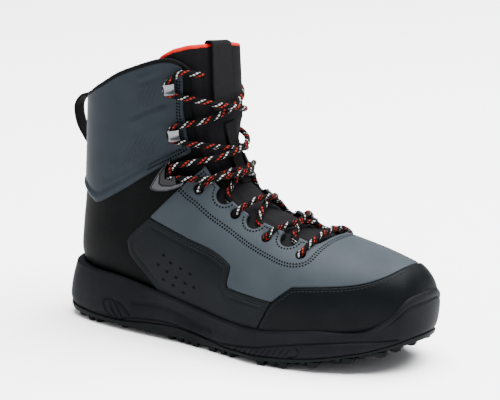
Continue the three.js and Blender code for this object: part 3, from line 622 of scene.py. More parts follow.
def merge(thing, distance=2e-6):
    """Joins the vertices that fall together, such as those of a ring's seam."""
    mesh = bmesh.new()
    mesh.from_mesh(thing.data)
    bmesh.ops.remove_doubles(mesh, verts=mesh.verts[:], dist=distance)
    bmesh.ops.dissolve_degenerate(mesh, edges=mesh.edges[:], dist=distance)
    mesh.to_mesh(thing.data)
    mesh.free()


def finish_piece(thing, materials, nodes=(), sharp=None):
    for material in np.atleast_1d(materials):
        thing.data.materials.append(material)
    thing.data.shade_smooth()
    if sharp:
        thing.data.set_sharp_from_angle(angle=math.radians(sharp))
    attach(thing, "root")
    if nodes:
        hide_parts(*nodes)
    return thing


def loop_vertices(thing):
    """The vertex at each corner of each face."""
    loops = np.zeros(len(thing.data.loops), int)
    thing.data.loops.foreach_get("vertex_index", loops)
    return loops


def set_uv(thing, per_vertex):
    """Gives a mesh a map from one pair of numbers, in millimetres, for each vertex."""
    layer = thing.data.uv_layers.new(name="map")
    layer.data.foreach_set("uv", np.asarray(per_vertex)[loop_vertices(thing)].ravel())


def past_ends(path):
    """The points behind and ahead of each point of a path, with both ends drawn out straight."""
    behind = np.vstack([2 * path[0] - path[1], path[:-1]])
    ahead = np.vstack([path[1:], 2 * path[-1] - path[-2]])
    return behind, ahead


def ring_ends(rows, columns):
    """The two faces that close the first and last of a stack of rings."""
    first = list(range(columns))
    return [first, [(rows - 1) * columns + k for k in reversed(first)]]


def sweep(path, ups, profile):
    """A profile of (out, across) pairs carried along a path: points, faces and a map in millimetres."""
    path = np.asarray(path, float)
    behind, ahead = past_ends(path)
    run = unit(ahead - behind)
    out = unit(ups - (ups * run).sum(axis=1, keepdims=True) * run)
    side = np.cross(run, out)
    profile = np.asarray(profile, float)
    points = path[:, None] + out[:, None] * profile[:, :1] + side[:, None] * profile[:, 1:]
    rows, columns = len(path), len(profile)
    faces = ring_faces(rows, columns, turned=True) + ring_ends(rows, columns)
    uv = np.stack(np.broadcast_arrays(run_length(profile)[None, :], run_length(path)[:, None]), -1)
    return points.reshape(-1, 3), faces, uv.reshape(-1, 2)


def swept(name, path, ups, profile):
    """A new object swept along a path, with its map."""
    points, faces, uv = sweep(path, ups, profile)
    thing = new_object(name, points, faces)
    set_uv(thing, uv)
    return thing


def smooth_path(points, spacing):
    """Evenly spaced points on a smooth curve through the given ones."""
    points = np.asarray(points, float)
    before, after = past_ends(points)
    dense = []
    for i in range(len(points) - 1):
        a, b = points[i], points[i + 1]
        chord = np.linalg.norm(b - a)
        slope_a = (after[i] - before[i]) / max(np.linalg.norm(after[i] - before[i]), 1e-9) * chord
        slope_b = after[i + 1] - before[i + 1]
        slope_b = slope_b / max(np.linalg.norm(slope_b), 1e-9) * chord
        t = (np.arange(16) / 16)[:, None]
        s = 1 - t
        line = a * s * s * (1 + 2 * t) + b * t * t * (3 - 2 * t)
        dense.append(line + slope_a * s * s * t - slope_b * t * t * s)
    dense = np.vstack([*dense, points[-1:]])
    run = run_length(dense)
    at = np.linspace(0, run[-1], max(2, round(run[-1] / spacing)) + 1)
    return np.stack([np.interp(at, run, dense[:, k]) for k in range(3)], -1)


# %% [markdown]
# Materials are built from nodes. A short helper adds a node and fills its inputs, so each finish
# below reads like a recipe. Colours are given as they look on a screen and are turned into light.

# %% Node helpers
def paint(red, green, blue):
    """A screen colour of 0 to 255 as linear light."""
    parts = [c / 255 for c in (red, green, blue)]
    return [c / 12.92 if c < 0.04045 else ((c + 0.055) / 1.055) ** 2.4 for c in parts] + [1.0]


def put(tree, kind, *inputs, out=0, **settings):
    """Adds a node, gives it values or links in order, and returns one of its outputs."""
    made = tree.nodes.new(kind)
    for name, value in settings.items():
        setattr(made, name, value)
    sockets = [s for s in made.inputs if s.enabled]
    for socket, value in zip(sockets, inputs):
        if isinstance(value, bpy.types.NodeSocket):
            tree.links.new(value, socket)
        elif value is not None:
            socket.default_value = value
    outputs = [s for s in made.outputs if s.enabled]
    return outputs[out] if isinstance(out, int) else made.outputs[out]


def maths(tree, operation, *inputs):
    return put(tree, "ShaderNodeMath", *inputs, operation=operation)


def blend(tree, factor, a, b):
    """Mixes two colours."""
    return put(tree, "ShaderNodeMix", factor, a, b, data_type="RGBA")


def remap(tree, value, low, high, to_low=0.0, to_high=1.0):
    return put(tree, "ShaderNodeMapRange", value, low, high, to_low, to_high)


def effect(name, inputs, outputs):
    """An empty shader group with named inputs and outputs."""
    tree = bpy.data.node_groups.new(name, "ShaderNodeTree")
    for label, kind, value in inputs:
        socket = tree.interface.new_socket(name=label, in_out="INPUT", socket_type=kind)
        if value is not None:
            socket.default_value = value
    for label, kind in outputs:
        tree.interface.new_socket(name=label, in_out="OUTPUT", socket_type=kind)
    return tree, tree.nodes.new("NodeGroupInput").outputs, tree.nodes.new("NodeGroupOutput").inputs


def use(tree, group, **values):
    """Places an effect in a material and returns its outputs by name."""
    made = tree.nodes.new("ShaderNodeGroup")
    made.node_tree = group
    for name, value in values.items():
        socket = made.inputs[name.replace("_", " ")]
        if isinstance(value, bpy.types.NodeSocket):
            tree.links.new(value, socket)
        else:
            socket.default_value = value
    return made.outputs


def map_parts(tree):
    """The two numbers of the piece's own map."""
    place = put(tree, "ShaderNodeUVMap", out="UV")
    parts = put(tree, "ShaderNodeSeparateXYZ", place).node.outputs
    return parts["X"], parts["Y"]


# %% [markdown]
# Coated cloth, leather and rubber share a fine grain: small cells pressed in by a roller, with some
# unevenness between them. The same effect serves them all, with another size and depth in each.

# %% Grain
FLOAT = "NodeSocketFloat"


def make_grain():
    tree, given, result = effect(
        "grain",
        [("Cell size", FLOAT, 1.0), ("Softness", FLOAT, 0.5)],
        [("Height", FLOAT), ("Cloud", FLOAT)],
    )
    place = put(tree, "ShaderNodeTexCoord", out="Object")
    millimetres = put(tree, "ShaderNodeVectorMath", place, 1000.0, operation="SCALE")
    scale = maths(tree, "DIVIDE", 1.0, given["Cell size"])
    cells = put(tree, "ShaderNodeTexVoronoi", millimetres, scale, feature="SMOOTH_F1")
    tree.links.new(given["Softness"], cells.node.inputs["Smoothness"])
    fine = put(tree, "ShaderNodeTexNoise", millimetres, maths(tree, "MULTIPLY", scale, 2.2), 2.0)
    tree.links.new(maths(tree, "ADD", cells, maths(tree, "MULTIPLY", fine, 0.6)), result["Height"])
    cloud = put(tree, "ShaderNodeTexNoise", millimetres, 0.035, 3.0)
    tree.links.new(remap(tree, cloud, 0.35, 0.65), result["Cloud"])
    return tree


GRAIN = make_grain()

# %% [markdown]
# Cloth is threads passing over and under each other. Two waves at right angles, in millimetres along
# and across the piece, give the height of a plain weave; a ribbed webbing has one wave much wider
# than the other.

# %% Weave
def make_weave():
    tree, given, result = effect(
        "weave",
        [("Across", FLOAT, 0.8), ("Along", FLOAT, 0.8)],
        [("Height", FLOAT)],
    )
    waves = []
    for part, period in zip(map_parts(tree), ("Across", "Along")):
        turn = maths(tree, "MULTIPLY", maths(tree, "DIVIDE", part, given[period]), 2 * math.pi)
        waves.append(maths(tree, "SINE", turn))
    height = maths(tree, "MULTIPLY", *waves)
    tree.links.new(remap(tree, height, -1.0, 1.0), result["Height"])
    return tree


WEAVE = make_weave()


def new_material(name, color, roughness, coat=0.0, sheen=0.0, metallic=0.0):
    """A material with its tree, its shader and plain values set on the shader's own inputs."""
    material = bpy.data.materials.new(name)
    material.use_nodes = True
    tree = material.node_tree
    shader = tree.nodes["Principled BSDF"]
    shader.inputs["Base Color"].default_value = color
    shader.inputs["Roughness"].default_value = roughness
    shader.inputs["Specular IOR Level"].default_value = 0.5 if metallic else 0.025
    shader.inputs["Coat Weight"].default_value = coat
    shader.inputs["Coat Roughness"].default_value = 0.35
    shader.inputs["Sheen Weight"].default_value = sheen
    shader.inputs["Sheen Roughness"].default_value = 0.6
    shader.inputs["Metallic"].default_value = metallic
    return material, tree, shader.inputs


def bump(tree, inputs, height, depth):
    """Lets a height, in shares of a depth in millimetres, tilt the surface as it is so far."""
    made = tree.nodes.new("ShaderNodeBump")
    made.inputs["Distance"].default_value = depth * 0.001
    tree.links.new(height, made.inputs["Height"])
    if inputs["Normal"].is_linked:
        tree.links.new(inputs["Normal"].links[0].from_socket, made.inputs["Normal"])
    tree.links.new(made.outputs["Normal"], inputs["Normal"])


def make_ribs():
    """The two fields of embossed ribs, drawn on the map in the sizes of the side view."""
    tree, _, result = effect("ribs", [], [("Height", FLOAT)])
    map_x, map_z = map_parts(tree)
    heights = []
    for along, up, half, tall, spacing, lean in RIB_FIELDS:
        x = maths(tree, "SUBTRACT", map_x, along * SOLE_LENGTH)
        z = maths(tree, "SUBTRACT", map_z, float(rise(up)))
        shift = maths(tree, "MULTIPLY", z, math.tan(math.radians(lean)))
        slant = maths(tree, "SUBTRACT", x, shift)
        far = []
        for part, reach in ((slant, half), (z, tall)):
            share = maths(tree, "ABSOLUTE", maths(tree, "DIVIDE", part, reach))
            far.append(maths(tree, "POWER", share, 4))
        field = remap(tree, maths(tree, "ADD", *far), 0.1, 1.0, 1.0, 0.0)
        wave = maths(tree, "COSINE", maths(tree, "MULTIPLY", slant, 2 * math.pi / spacing))
        heights.append(maths(tree, "MULTIPLY", field, wave))
    tree.links.new(maths(tree, "ADD", *heights), result["Height"])
    return tree


def grained(name, color, light, roughness, cell, depth, coat=0.0):
    """Leather, coated cloth or rubber: a grain, a slow change of tone and a dull shine."""
    material, tree, inputs = new_material(name, color, roughness, coat)
    grain = use(tree, GRAIN, Cell_size=cell, Softness=0.6)
    tree.links.new(blend(tree, grain["Cloud"], color, light), inputs["Base Color"])
    rough = remap(tree, grain["Height"], 0.2, 1.2, roughness - 0.06, roughness + 0.08)
    tree.links.new(rough, inputs["Roughness"])
    bump(tree, inputs, grain["Height"], depth)
    return material


def woven(name, color, light, roughness, across, along, depth, sheen=0.01):
    """Cloth or webbing: a weave that follows the piece's own map, with painted shade in its hollows and
    lighter crests.
    """
    material, tree, inputs = new_material(name, color, roughness, sheen=sheen)
    weave = use(tree, WEAVE, Across=across, Along=along)
    # Painted shade: the weave's hollows take the darker colour and its raised threads the lighter one
    tree.links.new(blend(tree, weave["Height"], color, light), inputs["Base Color"])
    bump(tree, inputs, weave["Height"], depth)
    return material


# %% Finishes
SLATE = grained("slate coated leather", paint(26, 31, 35), paint(29, 34, 39), 0.5, 0.55, 0.05, 0.02)
# Painted light: the vamp takes a lighter copy of the slate leather, standing for the light on its top
SLATE_VAMP_PAINTED_LIGHTER = grained("slate leather painted lighter on the lit vamp", paint(38, 43, 47), paint(42, 47, 51), 0.5, 0.55, 0.05, 0.02)
BLACK_LEATHER = grained("black synthetic leather", paint(1, 2, 2), paint(3, 4, 4), 0.6, 0.6, 0.08, 0.01)
BLACK_SIDE = grained("black coated side", paint(9, 12, 13), paint(12, 15, 16), 0.5, 0.5, 0.06, 0.02)
RAND_RUBBER = grained("black toe rand", paint(4, 6, 7), paint(7, 9, 10), 0.5, 0.8, 0.1, 0.02)
FOAM = grained("midsole foam", paint(12, 13, 15), paint(16, 17, 19), 0.55, 0.5, 0.06, 0.01)
slate_tree = SLATE.node_tree
slate_inputs = slate_tree.nodes["Principled BSDF"].inputs
bump(slate_tree, slate_inputs, use(slate_tree, make_ribs())["Height"], RIB_HEIGHT)
TREAD = grained("tread rubber", paint(9, 12, 12), paint(13, 16, 16), 0.5, 0.5, 0.05, 0.02)
TAG_RED = grained("red tag rubber", paint(208, 52, 44), paint(218, 60, 50), 0.6, 0.5, 0.04)
TONGUE_CLOTH = woven("tongue cloth", paint(6, 6, 7), paint(17, 17, 19), 0.85, 0.9, 0.9, 0.12)
RED_LINING = woven("red lining", paint(138, 12, 9), paint(162, 22, 16), 0.85, 1.1, 1.1, 0.15)
BLACK_LINING = woven("black lining", paint(8, 8, 9), paint(17, 17, 18), 0.9, 1.1, 1.1, 0.15)
WEBBING = woven("black webbing", paint(4, 4, 5), paint(14, 14, 15), 0.8, 2.4, 1.1, 0.3)
BINDING = woven("black binding", paint(4, 4, 5), paint(10, 10, 11), 0.8, 1.2, 0.8, 0.15)
THREAD, *_ = new_material("dark thread", paint(22, 25, 27), 0.6)
PIN_HOLE, *_ = new_material("pin holes", paint(2, 2, 2), 0.9)
print(len(bpy.data.materials), "materials")

# %% [markdown]
# Stitches and pin holes repeat by the thousand along their seams, so Geometry Nodes lay them: the
# seam becomes a curve, the curve is cut into equal steps, and one small shape is put at each step,
# turned with the seam and standing on the surface. The result is made real at the end.

# %% Laying small shapes along seams
def geometry_tree(name, inputs):
    tree = bpy.data.node_groups.new(name, "GeometryNodeTree")
    tree.interface.new_socket(name="Geometry", in_out="INPUT", socket_type="NodeSocketGeometry")
    for label, kind in inputs:
        tree.interface.new_socket(name=label, in_out="INPUT", socket_type=kind)
    tree.interface.new_socket(name="Geometry", in_out="OUTPUT", socket_type="NodeSocketGeometry")
    return tree, tree.nodes.new("NodeGroupInput").outputs, tree.nodes.new("NodeGroupOutput").inputs


STAMP_INPUTS = [("Shape", "NodeSocketObject"), ("Material", "NodeSocketMaterial")]


def stamp(tree, points, given, result, turn=None):
    """Puts the given shape at each point, in the given material, as the tree's result."""
    placed = tree.nodes.new("GeometryNodeInstanceOnPoints")
    tree.links.new(points, placed.inputs["Points"])
    shape = put(tree, "GeometryNodeObjectInfo", given["Shape"], out="Geometry")
    tree.links.new(shape, placed.inputs["Instance"])
    if turn is not None:
        tree.links.new(turn, placed.inputs["Rotation"])
    real = put(tree, "GeometryNodeRealizeInstances", placed.outputs["Instances"])
    done = tree.nodes.new("GeometryNodeSetMaterial")
    tree.links.new(real, done.inputs["Geometry"])
    tree.links.new(given["Material"], done.inputs["Material"])
    tree.links.new(done.outputs["Geometry"], result["Geometry"])
    return tree


def seam_tree():
    tree, given, result = geometry_tree("along a seam", [("Spacing", FLOAT), *STAMP_INPUTS])
    curve = put(tree, "GeometryNodeMeshToCurve", given["Geometry"])
    steps = tree.nodes.new("GeometryNodeResampleCurve")
    steps.mode = "LENGTH"
    tree.links.new(curve, steps.inputs["Curve"])
    tree.links.new(given["Spacing"], steps.inputs["Length"])
    run = put(tree, "GeometryNodeInputTangent")
    facing = tree.nodes.new("GeometryNodeInputNamedAttribute")
    facing.data_type = "FLOAT_VECTOR"
    facing.inputs["Name"].default_value = "facing"
    align = "FunctionNodeAlignRotationToVector"
    turn = put(tree, align, None, None, run, axis="X")
    turn = put(tree, align, turn, None, facing.outputs["Attribute"], axis="Z", pivot_axis="X")
    return stamp(tree, steps.outputs["Curve"], given, result, turn)


SEAM_TREE = seam_tree()


def grown(thing, tree, **values):
    """Runs a geometry tree on an object and leaves the plain mesh that comes out."""
    modifier = thing.modifiers.new("grow", "NODES")
    modifier.node_group = tree
    for item in tree.interface.items_tree:
        if item.in_out == "INPUT" and item.name in values:
            modifier[item.identifier] = values[item.name]
    graph = bpy.context.evaluated_depsgraph_get()
    mesh = bpy.data.meshes.new_from_object(thing.evaluated_get(graph))
    thing.modifiers.clear()
    thing.data = mesh
    return thing


def small_shape(name, points, faces):
    """A shape of a few faces, in millimetres about the origin, to be repeated."""
    thing = new_object(name, np.asarray(points) + TO_FRAME, faces)
    thing.data.shade_smooth()
    return thing


def ball(length, width, height, rings=3, sides=6):
    """A long rounded shape: a stitch."""
    points = [[-length / 2, 0, 0]]
    for i in range(1, rings + 1):
        turn = math.pi * i / (rings + 1)
        for j in range(sides):
            a = 2 * math.pi * j / sides
            r = math.sin(turn) ** 0.6 / 2
            x = -length / 2 * math.cos(turn)
            points.append([x, width * r * math.cos(a), height * r * math.sin(a)])
    points.append([length / 2, 0, 0])
    faces = [[0, 1 + (j + 1) % sides, 1 + j] for j in range(sides)]
    faces += [[v + 1 for v in face] for face in ring_faces(rings, sides)]
    last = 1 + (rings - 1) * sides
    faces += [[last + j, last + (j + 1) % sides, last + sides] for j in range(sides)]
    return points, faces


def disc(radius, sides=8):
    """A small flat disc: a pin hole."""
    c, s = circle(sides)
    return np.stack([radius * c, radius * s, 0 * c], -1), [list(range(sides))]


STITCH = small_shape("stitch", *ball(2.3, 0.75, 0.55))
PIN = small_shape("pin", *disc(0.8))
VENT = small_shape("vent", *disc(0.95, 12))


def sew(name, lines, spacing, shape, material):
    """Lays a shape along several lines, each given as points and the surface's directions."""
    points = np.vstack([line for line, _ in lines])
    facing = np.vstack([out for _, out in lines])
    edges = []
    start = 0
    for line, _ in lines:
        edges += [(start + i, start + i + 1) for i in range(len(line) - 1)]
        start += len(line)
    thing = new_object(name, points, [], edges)
    layer = thing.data.attributes.new("facing", "FLOAT_VECTOR", "POINT")
    layer.data.foreach_set("vector", facing.ravel())
    grown(thing, SEAM_TREE, Spacing=spacing * 0.001, Shape=shape, Material=material)
    thing.data.materials.clear()
    finish_piece(thing, material)
    return thing


def seam(sheet, level, height, keep):
    """The lines of a sheet at a depth, where `keep` holds: points over the last and directions."""
    found = []
    for chain in sheet.lines(level):
        points = sheet.spot.point[chain] + sheet.spot.normal[chain] * height[chain, None]
        normals = sheet.spot.normal[chain]
        good = keep[chain]
        pieces = np.split(np.arange(len(chain)), np.where(np.diff(good))[0] + 1)
        for part in pieces:
            if good[part[0]] and len(part) > 3:
                found.append((points[part], normals[part]))
    return found


# %% [markdown]
# The upper is one hollow shell of black synthetic leather, open at the collar and down the throat.
# Its outer and inner skins come from the same cut sheet, so their rims meet in one rounded edge. The
# inner skin swells round the ankle and collar, where the real boot is padded.

# %% The upper
def upper_depth(spot):
    cut = np.minimum(from_throat(spot), -within(COLLAR_LINE, spot))
    return np.minimum(cut, from_holes(spot))


def padding(spot):
    """How far the lining swells inwards round the ankle and the collar."""
    high = ramp(spot.point[:, 2], 95, 135)
    side = ramp(from_throat(spot), 22, 42)
    return 3.2 * high * high * (3 - 2 * high) * side


NOSE_STATIONS = np.linspace(-1, 0, 4)[:-1]


def make_upper():
    stations = np.concatenate([NOSE_STATIONS, np.linspace(0, LAST_END, 190)])
    angles = np.linspace(-math.pi, math.pi, 191)
    sheet = Sheet(stations, angles, upper_depth, [0.35, 1.0])
    swell = padding(sheet.spot)
    outer = np.interp(sheet.depth, [0, 0.35, 1.0], [-WALL / 2, -0.3, 0]) + relief(sheet.spot)
    inner = np.interp(sheet.depth, [0, 0.35, 1.0], [-WALL / 2, -WALL + 0.3, -WALL])
    inner -= swell * np.clip(sheet.depth / 6, 0, 1) ** 0.5
    points = np.vstack([sheet.at(outer), sheet.at(inner)])
    count = len(sheet.depth)
    faces = sheet.faces + [[v + count for v in reversed(face)] for face in sheet.faces]
    upper = new_object("black_upper", points, faces)
    set_uv(upper, np.tile(sheet.spot.point[:, [0, 2]], (2, 1)))
    inside = np.arange(len(sheet.faces) * 2) >= len(sheet.faces)
    upper.data.polygons.foreach_set("material_index", inside.astype(int))
    merge(upper)
    return finish_piece(upper, [BLACK_LEATHER, BLACK_LINING], ["upper"])


upper = make_upper()
print("upper", len(upper.data.polygons), "faces")

# %% [markdown]
# The overlays follow: slate on the shaft and vamp, black low on both sides, and the rand round the
# toe. Each has a rounded edge that sinks a little into the upper, as stitched leather does.

# %% Overlay panels
def edge_height(depth, thick, sink=-0.4):
    """Height of a sewn overlay by its depth inside the outline: a rounded, slightly sunk edge."""
    return np.interp(depth, [0, 0.2, 0.6, 1.3], [sink, 0.62 * thick, 0.92 * thick, thick])


EDGE_LEVELS = [0.2, 0.6, 1.3]


def make_overlay(name, nodes, material, sheet, height):
    overlay = new_object(name, sheet.at(height), sheet.faces)
    set_uv(overlay, sheet.spot.point[:, [0, 2]])
    merge(overlay)
    return finish_piece(overlay, material, nodes)


def shaft_depth(spot):
    low = np.minimum(within(SHAFT_EDGE, spot), -within(COLLAR_LINE, spot) - 0.2)
    return np.minimum(low, from_throat(spot) - 6.5)


SHAFT_ANGLES = np.linspace(0.4, 2 * math.pi - 0.4, 250)
shaft = Sheet(np.linspace(9.5, LAST_END, 170), SHAFT_ANGLES, shaft_depth, [*EDGE_LEVELS, 3.2, 5.6])
PIPING = [(-0.05, 0.9), *(row[:2] for row in SHAFT_EDGE[1:7])]


shaft_height = edge_height(shaft.depth, PANEL) + relief(shaft.spot)
piping = line_distance(shaft.spot.point[:, [0, 2]], [side_place(*row) for row in PIPING])
shaft_height += 0.9 * hump(piping, 3.0, 2.2) - 0.7 * hump(piping, 6.6, 1.1)
make_overlay("slate_shaft_panel", ["shaft_panel"], SLATE, shaft, shaft_height)
print("shaft panel", len(shaft.faces), "faces")


def vamp_depth(spot):
    cut = np.minimum(within(VAMP_EDGE, spot), from_throat(spot) - 1)
    return np.minimum(cut, from_holes(spot, 0.9))


VAMP_LEVELS = [*EDGE_LEVELS, 2.6, 5.2]
vamp = Sheet(np.linspace(1.5, 12.5, 200), np.linspace(-2.0, 2.0, 240), vamp_depth, VAMP_LEVELS)
vamp_height = edge_height(vamp.depth, PANEL) + relief(vamp.spot)
# The vamp wears the lighter slate, painted for the light that falls on it
make_overlay("slate_vamp_panel", ["vamp_panel"], SLATE_VAMP_PAINTED_LIGHTER, vamp, vamp_height)
print("vamp panel", len(vamp.faces), "faces")


def side_depth(spot):
    return within(SIDE_PANEL, spot)


SIDES = [(-1, "lateral"), (1, "medial")]
SIDE_LEVELS = [*EDGE_LEVELS, 2.4, 4.4]
SIDE_SHEETS = []
for sign, word in SIDES:
    angles = np.linspace(*sorted([sign * 2.9, sign * 0.6]), 150)
    side = Sheet(np.linspace(5.5, 13, 130), angles, side_depth, SIDE_LEVELS)
    side_height = edge_height(side.depth, RAND) + relief(side.spot)
    side_height -= 0.45 * hump(side.depth, 5.8, 0.9)
    make_overlay(f"black_side_{word}", [f"side_panel_{word}"], BLACK_SIDE, side, side_height)
    SIDE_SHEETS.append((side, side_height))


def rand_depth(spot):
    return within(TOE_RAND, spot) - 0.3


RAND_STATIONS = np.concatenate([NOSE_STATIONS, np.linspace(0, 9, 130)])
rand = Sheet(RAND_STATIONS, np.linspace(-math.pi, math.pi, 300), rand_depth, [*EDGE_LEVELS, 2.8])
rand_height = edge_height(rand.depth, RAND + 0.4)
make_overlay("black_toe_rand", ["toe_rand"], RAND_RUBBER, rand, rand_height)
print("rand", len(rand.faces), "faces")

# %% [markdown]
# The sole is a moulded foam cup on a rubber tread. Both follow one outline, which is given at places
# from the heel to the toe as shares of the ball's width. The tread is drawn in a little under the
# arch, and the cup's upper edge rises into a bumper over the toe.

# %% The outline of the sole
SOLE_ROWS = [
    # place, lateral and medial reach, tuck of the tread, height of the cup's edge
    (0.0, 0.035, -0.035, 0, 0.37),
    (0.1, 0.242, 0.172, 0, 0.36),
    (0.2, 0.338, 0.282, 0, 0.35),
    (0.3, 0.383, 0.335, 0.01, 0.345),
    (0.4, 0.397, 0.327, 0.045, 0.3),
    (0.45, 0.404, 0.33, 0.05, 0.27),
    (0.5, 0.428, 0.365, 0.03, 0.24),
    (0.55, 0.467, 0.438, 0.01, 0.222),
    (0.6, 0.488, 0.503, 0, 0.222),
    (0.7, 0.43, 0.51, 0, 0.27),
    (0.8, 0.3, 0.408, 0, 0.275),
    (0.86, 0.205, 0.34, 0, 0.36),
    (0.92, 0.105, 0.235, 0, 0.48),
    (1.0, -0.058, 0.058, 0, 0.5),
]
SOLE_AT, SOLE_LATERAL, SOLE_MEDIAL, SOLE_TUCK, CUP_EDGE = zip(*SOLE_ROWS)


def outline_point(at, side, tread=False):
    reach = np.where(side < 0, through(SOLE_AT, SOLE_LATERAL, at), through(SOLE_AT, SOLE_MEDIAL, at))
    if tread:
        reach = reach - np.where(side > 0, through(SOLE_AT, SOLE_TUCK, at), 0)
    x = SOLE_LENGTH * (1 - np.cos(math.pi * at)) / 2
    return np.stack([x, side * reach * BALL_WIDTH], -1)


def sole_ring(count, tread=False):
    """Evenly spaced places round the sole: heel, outer side, toe, inner side. With outward ways."""
    way = np.linspace(0, 2, 1601)
    at = np.where(way <= 1, way, 2 - way)
    side = np.where(way <= 1, -1.0, 1.0)
    points = outline_point(at, side, tread)
    run = run_length(points)
    even = np.linspace(0, run[-1], count + 1)[:-1]
    place = np.stack([np.interp(even, run, points[:, k]) for k in (0, 1)], -1)
    ahead = unit(np.roll(place, -2, axis=0) - np.roll(place, 2, axis=0))
    out = np.stack([ahead[:, 1], -ahead[:, 0]], -1)
    return place, out, np.interp(even, run, at)


def ground(x):
    """Height of the tread over the floor: a bevel at the heel and the spring of the toe."""
    share = np.asarray(x, float) / SOLE_LENGTH
    spring = TOE_SPRING * (np.maximum(share - 0.66, 0) / 0.34) ** 1.6
    return spring + HEEL_BEVEL * (np.maximum(0.09 - share, 0) / 0.09) ** 2


TREAD_EDGE_X = [0, 20, 60, 80, 103, 125, 148, 172, 197, 217, 250, 282, 300, 315]
TREAD_EDGE_Z = [10.5, 8.6, 7.5, 8.8, 11.3, 12.2, 9.8, 7.4, 7.0, 7.8, 11.0, 17.0, 22.0, 28.0]


def tread_top(x):
    """Height of the line between tread and cup."""
    return through(TREAD_EDGE_X, TREAD_EDGE_Z, np.clip(x, 0, 315))


# %% [markdown]
# The cup's side wall is one strip round the sole. Its section bulges low, steps in and leans towards
# the upper; grooves and ribs are pressed into it along lines read off the side view. A ray from
# outside finds how far the upper stands out at the cup's edge, so the lip lies against it all round.

# %% The midsole cup
CUP_SHARE = [0.0, 0.1, 0.22, 0.34, 0.46, 0.72, 1.0]
CUP_OUT = [-0.9, 0.7, 1.1, 0.7, 0.2, -1.6, -4.2]
LIP = 2.4
CUP_WAIST = [(164, 9.8), (186, 11.5), (208, 14.4)]
CUP_GROOVES = [
    # width, depth, then points of x and z in millimetres
    (0.8, 1.5, [(66, 6.8), (78, 12), (97, 14.2), (118, 15), (140, 11.7), *CUP_WAIST]),
    (0.8, 1.5, [(208, 14.4), (227, 18.5), (250, 22.6), (272, 25.0), (292, 26.5), (306, 28.2)]),
    (2.2, 1.8, [(82, 23.8), (103, 25.4), (125, 22.8), (141, 18.4), (159, 16.6)]),
    (0.8, 1.4, [(50.8, 20.4), (52.5, 15.5), (57, 11), (63, 7.9)]),
    (0.8, 1.4, [(51.5, 21.5), (56.6, 23.4), (59, 17.5), (65.3, 9.6)]),
    (0.8, 1.4, [(58.1, 23.6), (62, 22.6), (66.5, 17), (71.2, 10.5)]),
    (0.8, 1.4, [(65.3, 22.4), (70, 20.6), (78.5, 14)]),
    (0.8, 1.4, [(238, 18.8), (241.5, 15.5), (240, 12.2), (234, 10)]),
]
CUP_RIBS_FROM, CUP_RIBS_TO, CUP_RIB_SPACING, CUP_RIB_DEPTH = 182, 236, 5.1, 1.2
CUP_RIBS_OVER = [*CUP_WAIST, (227, 18.5), (240, 19)]
BUMPER_GROOVE, BUMPER_GROOVE_DEPTH = 0.8, 1.1


def groove_depth(x, z):
    """How deep the grooves and ribs are pressed into the cup's wall."""
    flat = np.stack([x, z], -1)
    pressed = np.zeros(len(flat))
    for width, depth, points in CUP_GROOVES:
        line = smooth_path([(along, 0, up) for along, up in points], 2.5)[:, [0, 2]]
        pressed = np.maximum(pressed, depth * hump(line_distance(flat, line), 0, width))
    middle = (tread_top(x) + np.interp(x, *zip(*CUP_RIBS_OVER))) / 2
    slant = x - (z - middle) * 0.75
    band = np.clip(1.5 - np.abs(z - middle) / 3.0, 0, 1)
    along = ramp(slant, CUP_RIBS_FROM, CUP_RIBS_FROM + 4) * ramp(slant, CUP_RIBS_TO, CUP_RIBS_TO - 4)
    wave = 0.5 - 0.5 * np.cos(2 * math.pi * slant / CUP_RIB_SPACING)
    return pressed + CUP_RIB_DEPTH * band * along * wave**3


def last_tree(offset):
    """The last with its rand, as something that a ray can hit."""
    places = np.linspace(0, 16, 90), np.linspace(0, 2 * math.pi, 121)
    stations, angles = np.meshgrid(*places, indexing="ij")
    points = last_point(stations.ravel(), angles.ravel(), offset)
    return BVHTree.FromPolygons(points.tolist(), grid_faces(stations.shape).tolist())


def upper_reach(places, ways, heights, tree):
    """How far out of the sole's outline the upper stands at each height."""
    reach = np.full(len(places), -40.0)
    for i, (place, way, z) in enumerate(zip(places, ways, heights)):
        start = Vector((*(place + way * 40), z))
        hit = tree.ray_cast(start, Vector((*-way, 0.0)), 90)[0]
        if hit is not None:
            reach[i] = 40 - (hit - start).length
    return reach


def eased(ring, reach):
    """Values round a ring, each turned into the mean of its neighbours."""
    return sum(np.roll(ring, k, axis=0) for k in range(-reach, reach + 1)) / (2 * reach + 1)


def make_midsole():
    place, way, at = sole_ring(1100)
    way = unit(eased(way, 24))
    low = tread_top(place[:, 0]) - GAP
    high = rise(through(SOLE_AT, CUP_EDGE, at))
    lip = eased(upper_reach(place, way, high, last_tree(RAND)), 5)
    toe = ramp(at, 0.83, 0.9)
    rows = []
    for share in np.concatenate([np.linspace(0, 0.93, 44), [0.965, 0.99]]):
        z = low + (high - low) * share
        hug = lip + LIP * (1 - 0.55 * max(share - 0.93, 0) / 0.07)
        out = through(CUP_SHARE, CUP_OUT, share)
        out = out + np.maximum(hug - CUP_OUT[-1], 0) * ramp(share, 0.45, 0.95) ** 2
        straight = 0.8 + (hug - 0.8) * share + 1.2 * math.sin(math.pi * share)
        out = out + (straight - out) * toe * ramp(share, 0, 0.2)
        out -= groove_depth(place[:, 0], z)
        out -= BUMPER_GROOVE_DEPTH * toe * hump(share, BUMPER_GROOVE, 0.028)
        rows.append(np.column_stack([place + way * out[:, None], z]))
    for inward, drop in [(0.8, 0.25), (-0.6, 0.0), (-2.5, -1.0)]:
        rows.append(np.column_stack([place + way * (lip + inward)[:, None], high + drop]))
    rows.insert(0, np.column_stack([place + way * -6.0, low]))
    cup = new_object("foam_midsole", np.vstack(rows), ring_faces(len(rows), len(place)))
    return finish_piece(cup, FOAM, ["midsole"])


midsole = make_midsole()
print("midsole", len(midsole.data.polygons), "faces")
